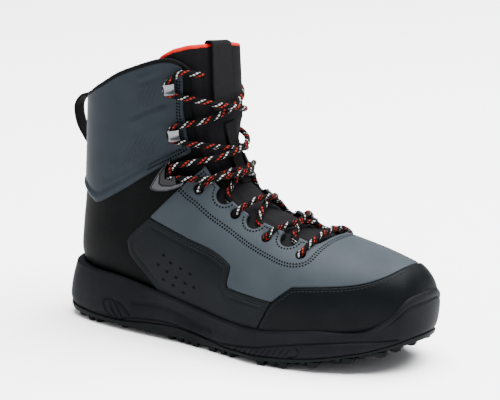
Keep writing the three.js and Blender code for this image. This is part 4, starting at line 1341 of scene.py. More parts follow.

# %% [markdown]
# The tread is a thin rubber plate with separate lugs. The main ones are rosettes of three petals and
# round pads with a sunk ring; small studs fill the places between them. Each kind is modelled once
# and Geometry Nodes set it at listed places, then lugs that reach past the edge are trimmed to
# the outline, as the mould does.

# %% The outsole
PETAL_ROWS = [
    (0.931, [0.32, 0.16, -0.03, -0.2]),
    (0.866, [0.35, 0.12, -0.09, -0.31]),
    (0.785, [0.39, 0.21, -0.18, -0.38]),
    (0.711, [0.36, 0.16, -0.045, -0.24, -0.45]),
    (0.662, [0.43]),
    (0.634, [0.05, -0.15]),
    (0.615, [-0.345]),
    (0.585, [0.41]),
    (0.557, [0.22, 0.025, -0.2, -0.4]),
    (0.488, [0.25, -0.1]),
    (0.449, [-0.25]),
    (0.414, [0.215, 0.04, -0.345]),
    (0.34, [0.13, -0.06, -0.235]),
    (0.272, [0.27, 0.075, -0.1, -0.28]),
    (0.215, [-0.02]),
    (0.17, [0.21]),
    (0.122, [-0.29, 0.13, -0.12]),
    (0.065, [0.02, 0.16]),
]
RING_ROWS = [
    (0.832, [0.27, -0.26]),
    (0.768, [-0.01]),
    (0.662, [0.28, -0.37]),
    (0.585, [-0.095]),
    (0.506, [0.1, -0.31]),
    (0.215, [0.125, -0.18]),
    (0.144, [-0.01]),
    (0.065, [-0.14]),
]
STUD_ROWS = [
    (0.961, [0.055]),
    (0.885, [0.22, 0.01, -0.22]),
    (0.832, [0.45]),
    (0.814, [0.02, -0.09]),
    (0.785, [0.1]),
    (0.737, [0.44, 0.26, 0.06, -0.145, -0.36]),
    (0.662, [0.15, -0.055, -0.255, -0.46]),
    (0.615, [0.2]),
    (0.585, [0.305, 0.115, -0.3]),
    (0.506, [-0.015, -0.2, -0.415]),
    (0.449, [0.12, -0.4]),
    (0.365, [0.22, 0.02, -0.35]),
    (0.296, [0.16, -0.025, -0.195]),
    (0.215, [0.24, -0.315]),
    (0.17, [0.1, -0.12, -0.24]),
    (0.122, [0.24]),
    (0.065, [-0.26]),
]
PETAL_RADIUS, PETAL_TURN = 8.4, 1.4
PETAL_RIM = [(0.12, 0.0), (0.5, -0.5), (0.9, -0.42), (1.0, 0.0), (0.9, 0.42), (0.5, 0.5)]
LUG_ROOT = LUG_DEPTH + 0.6
PAD_PROFILE = [
    # radius and height of the round pad with its sunk ring
    (7.6, LUG_ROOT), (7.4, 0.5), (6.9, 0), (4.4, 0), (4.0, 1.3), (2.9, 1.5), (2.5, 0.9), (1.0, 0.8),
]
STUD_PROFILE = [(3.8, LUG_ROOT), (3.6, 1.0), (3.1, 0.6), (1.4, 0.6), (1.1, 2.4)]


def petal_shape():
    """Three leaf-shaped wedges round a middle, each rising to a crest."""
    points, faces = [], []
    for k in range(3):
        turn = PETAL_TURN + k * 2 * math.pi / 3
        c, s = math.cos(turn), math.sin(turn)
        start = len(points)
        for lift, grow in [(LUG_ROOT, 1.04), (1.4, 1.0), (0.7, 0.88)]:
            for along, across in PETAL_RIM:
                x = PETAL_RADIUS * (0.5 + (along - 0.5) * grow)
                y = PETAL_RADIUS * across * grow
                points.append([x * c - y * s, x * s + y * c, lift])
        points += [[PETAL_RADIUS * along * c, PETAL_RADIUS * along * s, 0.0] for along in (0.3, 0.8)]
        faces += [[v + start for v in face] for face in ring_faces(3, 6, turned=True)]
        last, low, high = start + 12, start + 18, start + 19
        faces += [[last, low, last + 1], [last + 1, low, high, last + 2], [last + 2, high, last + 3]]
        faces += [[last + 3, high, last + 4], [last + 4, high, low, last + 5], [last + 5, low, last]]
    return points, faces


def turned_shape(profile, sides=16):
    """A round lug from its profile of radius and height."""
    c, s = circle(sides)
    points = [[r * c[j], r * s[j], z] for r, z in profile for j in range(sides)]
    return points, ring_faces(len(profile), sides, turned=True) + ring_ends(len(profile), sides)[1:]


PETAL = small_shape("petal", *petal_shape())
RING = small_shape("ring", *turned_shape(PAD_PROFILE))
STUD = small_shape("stud", *turned_shape(STUD_PROFILE, 12))


def lug_tree():
    tree, given, result = geometry_tree("lugs at points", STAMP_INPUTS)
    return stamp(tree, given["Geometry"], given, result)


LUG_TREE = lug_tree()


def trim_to_outline(thing):
    """Moves what stands out past the tread's edge back onto it."""
    count = len(thing.data.vertices)
    found = np.zeros(count * 3)
    thing.data.vertices.foreach_get("co", found)
    points = found.reshape(-1, 3) * 1000 + TO_FRAME
    place, way, _ = sole_ring(400, tread=True)
    edge = place - way * 0.5
    distance, away = loop_distance(edge, points[:, :2])
    past = distance < 0
    points[past, :2] += (away * distance[:, None])[past]
    thing.data.vertices.foreach_set("co", ((points - TO_FRAME) * 0.001).ravel())


def make_lugs(name, rows, shape):
    spots = [(a * SOLE_LENGTH, y * BALL_WIDTH) for a, across in rows for y in across]
    points = np.array([[x, y, float(ground(x))] for x, y in spots])
    lugs = grown(new_object(name, points, []), LUG_TREE, Shape=shape, Material=TREAD)
    trim_to_outline(lugs)
    lugs.data.materials.clear()
    return finish_piece(lugs, TREAD, sharp=35)


def make_outsole():
    place, way, _ = sole_ring(520, tread=True)
    base = ground(place[:, 0]) + LUG_DEPTH
    top = np.maximum(tread_top(place[:, 0]), base + 1.2)
    rows = [
        (-9.0, base + 0.3),
        (-2.4, base),
        (-1.0, base + 0.15),
        (0.0, base + 0.5),
        (0.5, (base + top) / 2),
        (0.6, top - 0.5),
        (0.1, top),
        (-4.0, top + 0.1),
    ]
    rings = [np.column_stack([place + way * out, z]) for out, z in rows]
    count = len(place)
    faces = ring_faces(len(rings), count)
    for i in range(count // 2):
        across = [(count - i) % count, count - i - 1, i + 1, i]
        faces.append(list(dict.fromkeys(across)))
    plate = new_object("tread_plate", np.vstack(rings), [f for f in faces if len(f) > 2])
    return finish_piece(plate, TREAD, ["outsole"], sharp=35)


make_outsole()
make_lugs("tread_petals", PETAL_ROWS, PETAL)
make_lugs("tread_rings", RING_ROWS, RING)
make_lugs("tread_studs", STUD_ROWS, STUD)

# %% Tag in the tread
TAG_LENGTH, TAG_WIDTH, TAG_THICK, TAG_TURN = 42, 12, 3, 45


def make_tag():
    turn = math.radians(TAG_TURN)
    reach = np.array([math.cos(turn), math.sin(turn), 0]) * TAG_LENGTH / 2
    path = np.array([-reach, reach])
    path += [0.415 * SOLE_LENGTH, -0.07 * BALL_WIDTH, LUG_DEPTH - 0.8]
    half, bevel = TAG_WIDTH / 2, 0.6
    profile = [(0, -half + bevel), (bevel, -half), (TAG_THICK, -half)]
    profile += [(out, -across) for out, across in reversed(profile)]
    points, faces, _ = sweep(path, np.tile([0, 0, 1.0], (2, 1)), profile)
    tag = new_object("red_tag", points, faces)
    finish_piece(tag, TAG_RED, ["sole_tag"], sharp=35)


make_tag()

# %% [markdown]
# A thin footbed lies in the shell, seen only down the collar.

# %% The insole
def bed_height(x):
    stations = np.linspace(1, 13, 200)
    base = section(stations)["base"]
    return np.interp(-np.asarray(x, float), -base[:, 0], base[:, 2]) + WALL


def make_insole():
    x = SOLE_LENGTH * np.linspace(0.035, 0.955, 120)
    at = np.arccos(1 - 2 * x / SOLE_LENGTH) / math.pi
    lateral, medial = through(SOLE_AT, SOLE_LATERAL, at), through(SOLE_AT, SOLE_MEDIAL, at)
    middle, half = (medial - lateral) / 2 * BALL_WIDTH, (medial + lateral) / 2 * BALL_WIDTH
    half = np.maximum(half - 10, 2) * np.clip(np.minimum(x - 9, 303 - x) / 12, 0.05, 1) ** 0.4
    c, s = circle(48)
    across = squared(c, 0.35)
    y = middle[:, None] + half[:, None] * across
    dish = 2.5 * across**4
    z = bed_height(x)[:, None] + 2.5 + dish + 2.2 * squared(s, 0.35)
    points = np.stack([np.broadcast_to(x[:, None], y.shape), y, z], -1).reshape(-1, 3)
    bed = new_object("footbed", points, ring_faces(*y.shape, turned=True) + ring_ends(*y.shape))
    set_uv(bed, points[:, :2])
    finish_piece(bed, BLACK_LINING, ["insole"])


make_insole()

# %% [markdown]
# A woven tape binds the rim of the shaft. Its path is found on the last: at each angle round the
# shaft, the station where the surface reaches the collar's outline.

# %% Collar binding
def station_at(reached, angles, low, high):
    """For each angle, the first station between low and high where a condition holds."""
    stations = np.linspace(low, high, 361)
    across, around = np.meshgrid(stations, angles, indexing="ij")
    value = reached(Spot(across.ravel(), around.ravel())).reshape(across.shape)
    first = np.argmax(value > 0, axis=0)
    before = np.maximum(first - 1, 0)
    column = np.arange(len(angles))
    a, b = value[before, column], value[first, column]
    return stations[before] + (stations[first] - stations[before]) * np.clip(-a / (b - a + 1e-9), 0, 1)


def make_binding():
    angles = np.linspace(0.35, 2 * math.pi - 0.35, 420)
    stations = station_at(lambda spot: within(COLLAR_LINE, spot) - 1.0, angles, 12, LAST_END)
    spot = Spot(stations, angles)
    on_flap = from_throat(spot) > 0.4
    path = (spot.point - spot.normal * 0.5)[on_flap]
    c, s = circle(14)
    profile = np.stack([2.1 * squared(c, 0.7), 1.5 * squared(s, 0.7)], -1)
    binding = swept("black_binding", path, spot.normal[on_flap], profile)
    return finish_piece(binding, BINDING, ["collar_binding"])


binding = make_binding()
print("binding", len(binding.data.polygons), "faces")

# %% [markdown]
# The tongue is a padded slab under the flaps. Its section is a flat rounded ring that follows the
# last from under the toe of the throat to above the collar; soft folds run down both sides of the
# strap. The lining is red and turns over the top edge as a thin rim.

# %% The tongue
TONGUE_TOP = [(0.2, 1.55), (0.33, 1.98), (0.36, 2.03), (0.395, 2.06), (0.46, 2.07)]
TONGUE_FOLDS = [
    # place aside of the middle, width and height in millimetres
    (7.0, 0.8, -0.7),
    (15.2, 1.0, -1.0),
    (18.5, 1.6, 0.5),
    (22.0, 1.2, -1.1),
    (25.5, 1.8, 0.4),
]
TONGUE_TUCKS, TUCK_DEPTH = [7.1, 8.0, 8.9, 9.8], 0.9
TONGUE_MARGIN, TONGUE_START = 14, 6.5
TONGUE_SWELL, SWELL_ASIDE = 5.5, 18


def tongue_top(spot):
    """Height of a place over the tongue's top line, in millimetres."""
    rows = np.array([side_place(*row) for row in TONGUE_TOP])
    line = np.interp(spot.point[:, 0], *rows.T)
    return spot.point[:, 2] - line + 0.2 * np.clip(spot.point[:, 1] + 6, 0, 30)


def make_tongue():
    sides, rows = 140, 150
    c, s = circle(sides)
    flat, thick = squared(c, 0.5), squared(s, 0.5)

    def angle_of(station, share):
        reach = throat_gap(station) + TONGUE_MARGIN
        return front_angle(station, section(station)["centre"] + share * reach)

    shares = np.linspace(-1, 1, 81)
    stations = np.linspace(15, LAST_END, 241)
    tops = []
    for share in shares:
        over = tongue_top(Spot(stations, angle_of(stations, np.full(241, share))))
        first = np.argmax(over > 0)
        tops.append(stations[first] if over[first] > 0 else LAST_END)
    top = np.interp(flat, shares, tops)
    points, uv = [], []
    for v in np.concatenate([[0.0, 0.004], np.linspace(0.01, 0.985, rows), [0.991, 0.996, 1.0]]):
        station = TONGUE_START + (top - TONGUE_START) * v
        angle = angle_of(station, flat)
        across = bare_point(station, angle)[:, 1] - section(station)["centre"]
        aside = np.abs(across)
        inside = throat_gap(station) - aside
        end = ramp(min(v, 1 - v), 0, 0.012)
        half = TONGUE_THICK / 2 * (0.25 + 0.75 * math.sqrt(1 - (1 - end) ** 2))
        offset = TONGUE_OUT - TONGUE_THICK / 2 + thick * half
        for place, width, height in TONGUE_FOLDS:
            fold = height * hump(aside, place, width) * ramp(inside, 0, 2)
            offset = offset + np.where(s > 0, fold, 0)
        for place in TONGUE_TUCKS:
            tuck = TUCK_DEPTH * hump(station + 0.012 * aside, place, 0.06) * ramp(aside, 19, 16)
            offset = offset - np.where(s > 0, tuck, 0)
        swell = hump(across, SWELL_ASIDE, 8) * ramp(station, 12, 13.5)
        offset = offset + TONGUE_SWELL * swell * ramp(inside, 0, 5)
        points.append(last_point(station, angle, offset))
        uv.append(np.stack([across, np.interp(station, FINE, CREST_RUN)], -1))
    ends = [face[::-1] for face in ring_ends(len(points), sides)]
    faces = ring_faces(len(points), sides) + ends
    inner = np.tile((s < -0.2) & (np.roll(s, -1) < 0), len(points) - 1)
    rim = np.repeat(np.arange(len(points) - 1) >= len(points) - 4, sides)
    tongue = new_object("padded_tongue", np.vstack(points), faces)
    set_uv(tongue, np.vstack(uv))
    red = np.concatenate([inner | rim, [False, True]])
    tongue.data.polygons.foreach_set("material_index", red.astype(int))
    return finish_piece(tongue, [TONGUE_CLOTH, RED_LINING], ["tongue"])


tongue = make_tongue()
print("tongue", len(tongue.data.polygons), "faces")

# %% [markdown]
# A webbing strap lies down the middle of the tongue and is folded over its top edge. Another piece
# of webbing makes the loop on the heel.

# %% Webbing strap and pull loop
STRAP_WIDTH, STRAP_THICK, STRAP_LOW, STRAP_HIGH = 25, 1.4, -7.5, -2.5
PULL_WIDTH, PULL_THICK, PULL_REACH = 11, 2.0, 17.5
PULL_LOOP = [
    # share of the reach behind the shaft, and height
    (0.02, 1.56), (0.06, 1.51), (0.6, 1.5), (0.97, 1.43), (1.0, 1.36),
    (0.8, 1.26), (0.4, 1.17), (0.03, 1.09), (0.0, 1.03),
]


def tape_profile(width, thick):
    """The section of a woven tape: flat, a little thicker near its edges."""
    half, t = width / 2, thick / 2
    edge = [(-half + 0.4, 0.75), (-half, 0.1), (-half + 0.4, -0.75)]
    top = [(half * k, 1.0 + 0.12 * k * k) for k in np.linspace(0.96, -0.96, 15)]
    low = [(half * k, -1.0) for k in np.linspace(-0.96, 0.96, 15)]
    other = [(-across, -out) for across, out in edge]
    return [(out * t, across) for across, out in [*top, *edge, *low, *other]]


def upright_ups(path, outwards):
    """Directions square to a path in the side view, pointing outwards at its start."""
    ups = np.cross(np.gradient(path, axis=0), [0, -1.0, 0])
    return ups * np.sign(ups[0] @ outwards)


def make_strap():
    """The strap: up the outside of the tongue, over its top edge and down the lining."""
    stations = np.linspace(13.9, 20.2, 30)
    spot = Spot(stations, front_angle(stations, np.linspace(STRAP_LOW, STRAP_HIGH, 30)))
    keep = tongue_top(spot) < -1
    base = TONGUE_OUT + GAP + STRAP_THICK / 2
    outside = (spot.point + spot.normal * base)[keep]
    point, normal = spot.point[keep][-1], spot.normal[keep][-1]
    up = np.cross(normal, [0, -1, 0.0])
    up *= np.sign(up[2])
    middle = base - TONGUE_THICK / 2 - STRAP_THICK / 2 - GAP
    reach = base - middle
    arc = []
    for a in np.linspace(0.1, math.pi, 9):
        over = 1.6 + 0.75 * reach * math.sin(a)
        arc.append(point + normal * (middle + reach * math.cos(a)) + up * over)
    inside = [point + normal * (middle - reach) - up * drop for drop in (3, 9, 15)]
    path = smooth_path(np.vstack([outside, arc, inside]), 1.6)
    ups = upright_ups(path, spot.normal[0])
    points, faces, uv = sweep(path, ups, tape_profile(STRAP_WIDTH, STRAP_THICK))
    near_top = np.clip((points[:, 2] - 205) / 25, 0, 1)
    points[:, 2] -= 0.16 * near_top * (points[:, 1] + STRAP_WIDTH / 2)
    strap = new_object("tongue_webbing", points, faces)
    set_uv(strap, uv)
    return finish_piece(strap, WEBBING, ["tongue_strap"], sharp=50)


def make_pull_loop():
    back_line = section(np.linspace(14, LAST_END, 141))["base"]
    rows = []
    for back, up in PULL_LOOP:
        z = float(rise(up))
        shaft_back = np.interp(z, back_line[:, 2], back_line[:, 0])
        rows.append([shaft_back - PANEL - GAP - PULL_THICK / 2 - back * PULL_REACH, 0, z])
    path = smooth_path(rows, 1.2)
    ups = np.cross(np.gradient(path, axis=0), [0, 1.0, 0])
    ups *= -np.sign(ups[len(ups) // 2][0])
    loop = swept("heel_loop", path, ups, tape_profile(PULL_WIDTH, PULL_THICK))
    return finish_piece(loop, WEBBING, ["pull_loop"], sharp=50)


strap = make_strap()
loop = make_pull_loop()
print("webbing", len(strap.data.polygons) + len(loop.data.polygons), "faces")

# %% [markdown]
# Each hook has its own small frame: x to the throat, y along the boot's edge and z outwards. An open
# hook is a strip of metal bent along a flat path in x and z. The ankle hook is three bevelled plates
# on top of each other: the one on the panel, a wall in the lace's way painted near-black as the
# shade in that channel, and the scoop over it, painted darker than the plate as the shade in its bowl.

# %% Hooks
SPEED_HOOKS = [(0.36, 1.404), (0.353, 1.755)]
LOCK_HOOK = (0.338, 1.065)
HOOK_METAL, HOOK_SEAT = 1.4, 0.8
HOOK_PROUD = GAP + PANEL + HOOK_SEAT
EDGE_WAY = np.array([-0.15, 0, 1])
BRIGHT_METAL, *_ = new_material("bright satin metal", paint(86, 88, 91), 0.2, metallic=1.0)
DARK_METAL, *_ = new_material("gunmetal", paint(62, 62, 64), 0.18, metallic=1.0)
# Painted shade: the scoop takes a darker copy of the gunmetal for the shade in its bowl
SCOOP_SHADE_GUNMETAL, *_ = new_material("gunmetal painted darker for bowl shade", paint(42, 42, 43), 0.24, metallic=1.0)
# Painted shade: the wall in the lace's channel is near-black and not metal, standing for the shade under
# the scoop
CHANNEL_SHADE_BLACK, *_ = new_material("black painted for channel shade", paint(5, 5, 5), 0.5)


class HookFrame:
    def __init__(self, row, side):
        station, angle = side_spot(*row, side)
        self.origin = last_point(station, angle, HOOK_PROUD)
        normal = last_normal(np.array(station), np.array(angle))
        up = unit(EDGE_WAY - normal * (EDGE_WAY @ normal))
        across = np.cross(up, normal) * -side
        self.axes = np.array([across, up, normal])

    def at(self, points):
        return self.origin + np.asarray(points, float) @ self.axes


def hook_strip(reach, width, height, cup=0.0):
    """A strip bent into an open hook: points and faces in the hook's frame."""
    m = HOOK_METAL / 2
    route = [
        (-reach / 2, m),
        (reach / 2 - 1.5, m),
        (reach / 2 + 0.2, m + 0.6),
        (reach / 2 + height * 0.22, height * 0.42),
        (reach / 2 + height * 0.06, height * 0.8),
        (reach / 2 - height * 0.22, height - m),
        (-reach * 0.22, height - m),
        (-reach * 0.36, height - m - 0.7),
    ]
    path = smooth_path([[x, 0, z] for x, z in route], 0.8)
    ups = np.cross(np.gradient(path, axis=0), [0, 1.0, 0]) * -1
    half = width / 2
    rows = []
    for k in np.linspace(-1, 1, 9):
        slim, thin = (1, 1) if abs(k) < 1 else (0.97, 0.5)
        rows.append((half * k * slim, cup * (k * k - 0.5), m * thin))
    profile = [(bow + t, across) for across, bow, t in rows]
    profile += [(bow - t, across) for across, bow, t in reversed(rows)]
    return sweep(path, ups, profile)[:2]


def plate_form(outline, thick, lift=0.0):
    """A bevelled plate from its outline, whose underside lies at a height."""
    outline = np.array(outline, float)
    run = np.roll(outline, -1, axis=0) - np.roll(outline, 1, axis=0)
    inwards = np.stack([-run[:, 1], run[:, 0]], -1) / np.linalg.norm(run, axis=1, keepdims=True)
    points = []
    rings = [(0.0, 0.0), (0.0, thick * 0.6), (0.4, thick), (0.8, thick), (1.1, thick * 0.5)]
    for inset, z in rings:
        points += [[*spot, z + lift] for spot in outline + inwards * inset]
    ends = [face[::-1] for face in ring_ends(len(rings), len(outline))]
    return points, ring_faces(len(rings), len(outline)) + ends


# The ankle hook's outlines run anticlockwise, in millimetres.
LOCK_PLATE = [
    (8.0, 13.5), (3.4, 11.5), (-5.7, 2.5), (-12.5, -6.5), (-11.9, -8.4), (-6.8, -10.0), (1.1, -10.3),
    (9.1, -9.0), (16.0, -6.5), (18.2, -3.5), (16.5, -1.5), (10.3, -2.0), (4.6, 0.0), (5.5, 7.0),
]
LOCK_WALL = [
    (5.4, 10.8), (-0.2, 4.2), (-2.0, -3.0), (1.0, -5.3), (9.1, -5.7),
    (9.1, -3.3), (3.0, -3.0), (1.3, -1.8), (2.5, 3.6), (6.9, 9.4),
]
LOCK_SCOOP = [
    (8.4, 12.2), (5.1, 10.4), (0.0, 4.0), (-1.7, -3.5), (1.1, -5.8), (9.1, -6.2), (14.4, -4.5),
    (14.0, 2.0), (11.2, 2.2), (10.0, -0.6), (5.0, 0.3), (5.6, 7.0),
]
LOCK_PLATES = [(LOCK_PLATE, 2.0, 0.0), (LOCK_WALL, 4.8, 1.8), (LOCK_SCOOP, 1.8, 6.4)]


def join_forms(forms):
    points, faces = [], []
    for more, polygons in forms:
        faces += [[v + len(points) for v in face] for face in polygons]
        points += [list(p) for p in more]
    return points, faces


def make_hook(name, node, row, side, lock=False):
    if lock:
        points, faces = join_forms([plate_form(*plate) for plate in LOCK_PLATES])
    else:
        points, faces = hook_strip(6.6, 8.4, 7.6, 0.8)
    hook = new_object(name, HookFrame(row, side).at(points), faces)
    mesh = bmesh.new()
    mesh.from_mesh(hook.data)
    bmesh.ops.recalc_face_normals(mesh, faces=mesh.faces[:])
    mesh.to_mesh(hook.data)
    mesh.free()
    metals = [BRIGHT_METAL]
    if lock:
        # The plate keeps the gunmetal; the wall and the scoop carry painted shade
        metals = [DARK_METAL, CHANNEL_SHADE_BLACK, SCOOP_SHADE_GUNMETAL]
        counts = [4 * len(outline) + 2 for outline, _, _ in LOCK_PLATES]
        hook.data.polygons.foreach_set("material_index", np.repeat([0, 1, 2], counts))
    return finish_piece(hook, metals, [node], sharp=35)


for sign, word in SIDES:
    make_hook(f"ankle_hook_{word}", f"lock_hook_{word}", LOCK_HOOK, sign, lock=True)
    for i, row in enumerate(SPEED_HOOKS):
        make_hook(f"open_hook_{word}_{i + 1}", f"speed_hook_{word}_{i + 1}", row, sign)
print("hooks made")

# %% [markdown]
# The lace is one cord. It starts as a bar between the two lowest eyelets, dives through each eyelet,
# comes out again in the scallop of the flap's edge, and crosses to the next eyelet of the other
# flap. Higher up it crosses from the ankle hooks to the open hooks, and where two runs meet one
# lies on the other.

# %% The way of the lace
EYELET_SPOTS = {side: [side_spot(along, up, side) for along, up in EYELETS] for side in (-1, 1)}
RUNS = [((0.43, 1.1), (0.385, 1.07)), ((0.385, 1.19), (0.395, 1.34)), ((0.395, 1.48), (0.385, 1.69))]
OVER_FLAP = PANEL + LACE_RADIUS + 0.4
LIFTED, LYING = 6.3, 1.9
LACE_END = [(0.372, 1.865, 0.0), (0.395, 1.87, 0.0), (0.418, 1.845, -0.6)]


def crossing(start, end, low_start, middle, level=False):
    """Points over the tongue between a spot of one flap and a spot of the other.

    A level run keeps to a straight climb from end to end, as a tight lace does round the shin.
    """
    found = []
    climb = [bare_point(*start)[2], bare_point(*end)[2]]
    for t in np.linspace(0.12, 0.88, 9):
        station = start[0] + (end[0] - start[0]) * t
        angle = start[1] + (end[1] - start[1]) * t
        if level:
            heights = bare_point(FINE, np.full(len(FINE), angle))[:, 2]
            shin = FINE > 9
            station = np.interp(climb[0] + (climb[1] - climb[0]) * t, heights[shin], FINE[shin])
        ends = low_start + (OVER_FLAP - low_start) * t
        share = math.sin(math.pi * t) ** 2
        found.append(last_point(station, angle, ends + (middle - ends) * share))
    return found


def around_hook(row, side, lock=False):
    route = [(3.6, -6.2, 2.6), (-0.6, -4.5, 3.4), (-3.0, 0, 3.7), (-0.6, 4.5, 3.4), (3.6, 6.2, 2.6)]
    if lock:
        route = [(14.0, -0.4, 4.3), (9.0, -0.5, 4.3), (5.6, 0.9, 4.3), (6.6, 4.8, 4.2), (10.5, 8.8, 3.4)]
    return list(HookFrame(row, side).at(route))


def lace_half(side, lifted):
    """One half of the lace, from the middle of the bar upwards; lifted runs lie on top."""
    bar = [side_spot(0.73, 0.73, k) for k in (-side, side)]
    points = []
    for t in (0.5, 0.64, 0.78, 0.9):
        station = bar[0][0] + (bar[1][0] - bar[0][0]) * t
        angle = bar[0][1] + (bar[1][1] - bar[0][1]) * t
        points.append(last_point(station, angle, OVER_FLAP - 0.3))
    middle = LIFTED if lifted else LYING
    here = side
    for k in range(4):
        eyelet = EYELET_SPOTS[here][k]
        points += [last_point(*eyelet, 2.2), last_point(*eyelet, -1.4)]
        low = k < len(SCALLOPS)
        spot = throat_spot(SCALLOPS[k][0], here, -1) if low else side_spot(*RUNS[0][0], here)
        under = np.add(eyelet, spot) / 2
        if low:
            points += [last_point(*under, -4.4), last_point(*spot, -1.2)]
            points += crossing(spot, EYELET_SPOTS[-here][k + 1], -0.4, middle)
        else:
            points.append(last_point(*under, -4.0))
            points += crossing(spot, side_spot(*RUNS[0][1], -here), -0.2, middle, level=True)
        here = -here
    points += around_hook(LOCK_HOOK, here, lock=True)
    for (low, high), row in zip(RUNS[1:], SPEED_HOOKS):
        ends = side_spot(*low, here), side_spot(*high, -here)
        points += crossing(*ends, OVER_FLAP, middle, level=True)
        here = -here
        points += around_hook(row, here)
    return points


# %% [markdown]
# The cord is a round braid. Its map runs round it and along it in millimetres, so the braid and the
# red and white threads that wind round it are drawn from two slanted sets of bands.

# %% The lace
STRANDS, STRAND_LENGTH, FLECK_PERIOD = 8, 2.2, 13.5
FLECKS = [("White", 0.04, 0.27), ("Red", 0.42, 0.7)]
CORD_SIDES = 12


def make_braid():
    tree, _, result = effect("braid", [], [("Height", FLOAT), ("White", FLOAT), ("Red", FLOAT)])
    map_around, along = map_parts(tree)
    around = maths(tree, "DIVIDE", map_around, 2 * math.pi * LACE_RADIUS)
    waves, shares = [], []
    for lean in (1, -1):
        turned = maths(tree, "MULTIPLY", around, STRANDS * lean)
        slant = maths(tree, "ADD", turned, maths(tree, "DIVIDE", along, STRAND_LENGTH))
        wave = maths(tree, "SINE", maths(tree, "MULTIPLY", slant, math.pi))
        waves.append(maths(tree, "ABSOLUTE", wave))
        shares.append(maths(tree, "FRACT", maths(tree, "MULTIPLY", slant, 0.5)))
    height = maths(tree, "MULTIPLY", *waves)
    tree.links.new(maths(tree, "POWER", height, 0.5), result["Height"])
    thread = maths(tree, "GREATER_THAN", shares[0], 0.5)
    over = maths(tree, "LESS_THAN", shares[1], 0.62)
    on_top = maths(tree, "MULTIPLY", thread, over)
    turn = maths(tree, "FRACT", maths(tree, "ADD", around, maths(tree, "DIVIDE", along, FLECK_PERIOD)))
    for name, start, stop in FLECKS:
        after = maths(tree, "GREATER_THAN", turn, start)
        band = maths(tree, "MULTIPLY", after, maths(tree, "LESS_THAN", turn, stop))
        tree.links.new(maths(tree, "MULTIPLY", band, on_top), result[name])
    return tree


def make_lace_finish():
    material, tree, inputs = new_material("lace braid", paint(22, 22, 24), 0.75)
    braid = use(tree, make_braid())
    # Painted shade: the black braid is darker in the grooves between strands and lighter on their crests
    black = blend(tree, braid["Height"], paint(1, 1, 1), paint(12, 12, 13))
    white = blend(tree, braid["White"], black, paint(144, 142, 139))
    tree.links.new(blend(tree, braid["Red"], white, paint(118, 28, 18)), inputs["Base Color"])
    bump(tree, inputs, braid["Height"], 0.25)
    return material


LACE_BRAID = make_lace_finish()


def steady_ups(path):
    """Directions across a path that turn as little as they can."""
    run = unit(np.gradient(path, axis=0))
    up = np.cross(run[0], [0, 0, 1.0])
    ups = []
    for ahead in run:
        up = unit(up - ahead * (up @ ahead))
        ups.append(up)
    return np.array(ups)


def make_cord(name, path, nodes):
    """A round cord whose map goes all the way round, also over the seam of its rings."""
    profile = LACE_RADIUS * np.stack(circle(CORD_SIDES), -1)
    points, faces, uv = sweep(path, steady_ups(path), profile)
    cord = new_object(name, points, faces)
    loops = loop_vertices(cord)
    places = loops % CORD_SIDES
    walls = places[: (len(path) - 1) * CORD_SIDES * 4].reshape(-1, 4)
    walls[:, 2:] = np.where(walls[:, 2:] == 0, CORD_SIDES, walls[:, 2:])
    around = places / CORD_SIDES * 2 * math.pi * LACE_RADIUS
    layer = cord.data.uv_layers.new(name="map")
    layer.data.foreach_set("uv", np.stack([around, uv[loops, 1]], -1).ravel())
    return finish_piece(cord, LACE_BRAID, nodes)


def make_laces():
    whole = lace_half(-1, True)[-3::-1] + lace_half(1, False)[1:-1]
    runs = [f"lace_crossing_{i}" for i in range(1, 7)]
    lace = make_cord("lace", smooth_path(whole, 1.1), ["lace_bar", *runs])
    tip = around_hook(SPEED_HOOKS[1], -1)[2:]
    tip += [last_point(*side_spot(a, u, -1), OVER_FLAP + off) for a, u, off in LACE_END]
    end_path = smooth_path(tip, 1.1)
    end = make_cord("lace_tail", end_path, ["lace_end_lateral"])
    placed = (end_path - TO_FRAME) * 0.001
    length = float(np.linalg.norm(np.diff(placed, axis=0), axis=1).sum())
    return lace, length


lace, tail_length = make_laces()
print("lace", len(lace.data.polygons), "faces, tail", round(tail_length * 1000), "mm")

# %% [markdown]
# Now the needlework. Some lines follow the edges of the overlays, at a depth inside them; the double
# row round the eyestay and the vent holes in the side panels have places of their own.

# %% Stitches and pin holes
EYESTAY = [
    # station and angle
    (11.84, 1.0), (11.33, 0.96), (10.82, 0.91), (9.52, 0.83), (8.97, 0.81), (8.16, 0.82),
    (7.37, 0.83), (6.7, 0.85), (6.26, 0.8), (6.05, 0.69), (5.99, 0.45), (5.96, 0.2), (5.95, 0.0),
]
VENTS = [
    # along and up
    (0.364, 0.457), (0.407, 0.497), (0.437, 0.477), (0.393, 0.432), (0.422, 0.408), (0.384, 0.377),
    (0.352, 0.4), (0.416, 0.345), (0.336, 0.49), (0.375, 0.52), (0.45, 0.395), (0.352, 0.56),
]
HOLE_STEP, HOLE_PROUD = 2.4, 0.06
STITCH_STEP, STITCH_PROUD = 3.0, 0.1


def surface_line(rows, height, aside):
    """A line on the last through rows of station and angle, moved aside on the surface."""
    flat = smooth_path([[station, angle, 0.0] for station, angle in rows], 0.05)
    spot = Spot(flat[:, 0], flat[:, 1])
    side = unit(np.cross(np.gradient(spot.point, axis=0), spot.normal))
    return spot.point + spot.normal * (height + relief(spot)[:, None]) + side * aside, spot.normal


def eyestay_lines():
    found = []
    for aside in (-1.15, 1.15):
        right = [(station, -angle) for station, angle in EYESTAY]
        left = [(station, angle) for station, angle in EYESTAY[-2::-1]]
        found.append(surface_line(right + left, PANEL + HOLE_PROUD, aside))
    return found


def near_eyelet(spot, reach):
    close = np.zeros(len(spot.point), bool)
    for centre, radius in HOLES:
        if radius == EYELET_RADIUS:
            close |= np.linalg.norm(spot.point - centre, axis=1) < radius + reach
    return close


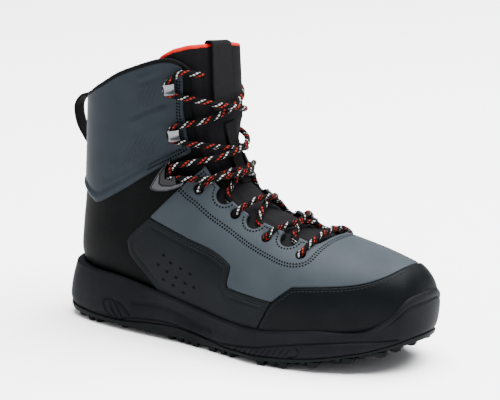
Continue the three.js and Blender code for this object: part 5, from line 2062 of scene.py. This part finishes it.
throat_side = (from_throat(vamp.spot) < 16) & ~near_eyelet(vamp.spot, 4.5) & (vamp.spot.station > 6.3)
eyestay_rows = eyestay_lines() + seam(vamp, 2.6, vamp_height + HOLE_PROUD, throat_side)
sew("eyestay_holes", eyestay_rows, HOLE_STEP, PIN, PIN_HOLE)
front = (shaft.spot.point[:, 0] > 92) & (within(COLLAR_LINE, shaft.spot) < -9)
shaft_rows = [line for level in (3.2, 5.6) for line in seam(shaft, level, shaft_height + HOLE_PROUD, front)]
sew("shaft_holes", shaft_rows, HOLE_STEP, PIN, PIN_HOLE)
for (side, side_height), (sign, word) in zip(SIDE_SHEETS, SIDES):
    ahead = (side.spot.point[:, 2] > 34) & (side.spot.point[:, 0] > 88)
    rows = [line for level in (2.4, 4.4) for line in seam(side, level, side_height + STITCH_PROUD, ahead)]
    sew(f"side_stitches_{word}", rows, STITCH_STEP, STITCH, THREAD)
    lines = []
    for along, up in VENTS:
        station, angle = side_spot(along, up, sign)
        rows = [(station, angle), (station + 0.04, angle)]
        lines.append(surface_line(rows, RAND + HOLE_PROUD, 0.0))
    sew(f"side_vents_{word}", lines, 9.0, VENT, PIN_HOLE)
rand_rows = seam(rand, 2.8, rand_height + STITCH_PROUD, rand.spot.point[:, 2] > 30)
sew("rand_stitches", rand_rows, STITCH_STEP, STITCH, THREAD)

# %% [markdown]
# A short band of webbing holds the laces over the middle of the tongue.

# %% Lace keeper
def make_keeper():
    start, stop = 10.0, 12.9
    station = np.linspace(start, stop, 30)
    share = (station - start) / (stop - start)
    spot = Spot(station, front_angle(station, section(station)["centre"] + 3 * (1 - share)))
    bow = 1.5 * np.sin(math.pi * share) ** 2
    path = spot.point + spot.normal * (TONGUE_OUT + 0.7 + bow)[:, None]
    keeper = swept("lace_keeper", path, spot.normal, tape_profile(13, 1.3))
    finish_piece(keeper, WEBBING, sharp=50)


make_keeper()

# %% [markdown]
# The floor, the light and the camera come last: a pale floor, a large soft light from above and in
# front, and the photograph's own angle.

# %% Floor, light and camera
CAMERA_BACK = Vector((0.554, -0.791, 0.259))
CAMERA_TARGET = Vector((-0.0148, 0.0227, 0.1009))
CAMERA_DISTANCE = 2.4
CAMERA_LENS = 222


def pale_floor():
    mesh = bpy.data.meshes.new("floor")
    mesh.from_pydata([(-4, -4, 0), (4, -4, 0), (4, 4, 0), (-4, 4, 0)], [], [(0, 1, 2, 3)])
    floor = bpy.data.objects.new("floor", mesh)
    bpy.context.scene.collection.objects.link(floor)
    material, *_ = new_material("pale floor", paint(240, 240, 242), 0.8)
    floor.data.materials.append(material)


def area_light(name, place, size, power):
    light = bpy.data.lights.new(name, "AREA")
    light.size = size
    light.energy = power
    lamp = bpy.data.objects.new(name, light)
    lamp.location = place
    lamp.rotation_euler = (Vector(place) - Vector((0, 0, 0.1))).to_track_quat("Z", "Y").to_euler()
    bpy.context.scene.collection.objects.link(lamp)


def light_scene():
    world = bpy.data.worlds.new("pale")
    world.use_nodes = True
    world.node_tree.nodes["Background"].inputs["Color"].default_value = paint(244, 244, 246)
    world.node_tree.nodes["Background"].inputs["Strength"].default_value = 0.8
    bpy.context.scene.world = world
    area_light("top light", (0.4, 0.4, 2.4), 2.8, 560)
    area_light("side light", (-1.2, -1.2, 1.2), 0.8, 8)


def make_camera():
    camera = bpy.data.objects.new("camera", bpy.data.cameras.new("camera"))
    camera.data.lens = CAMERA_LENS
    camera.data.sensor_width = 36
    camera.location = CAMERA_TARGET + CAMERA_BACK * CAMERA_DISTANCE
    camera.rotation_euler = CAMERA_BACK.to_track_quat("Z", "Y").to_euler()
    bpy.context.scene.collection.objects.link(camera)
    bpy.context.scene.camera = camera


pale_floor()
light_scene()
make_camera()
for helper in (STITCH, PIN, VENT, PETAL, RING, STUD):
    bpy.data.objects.remove(helper)
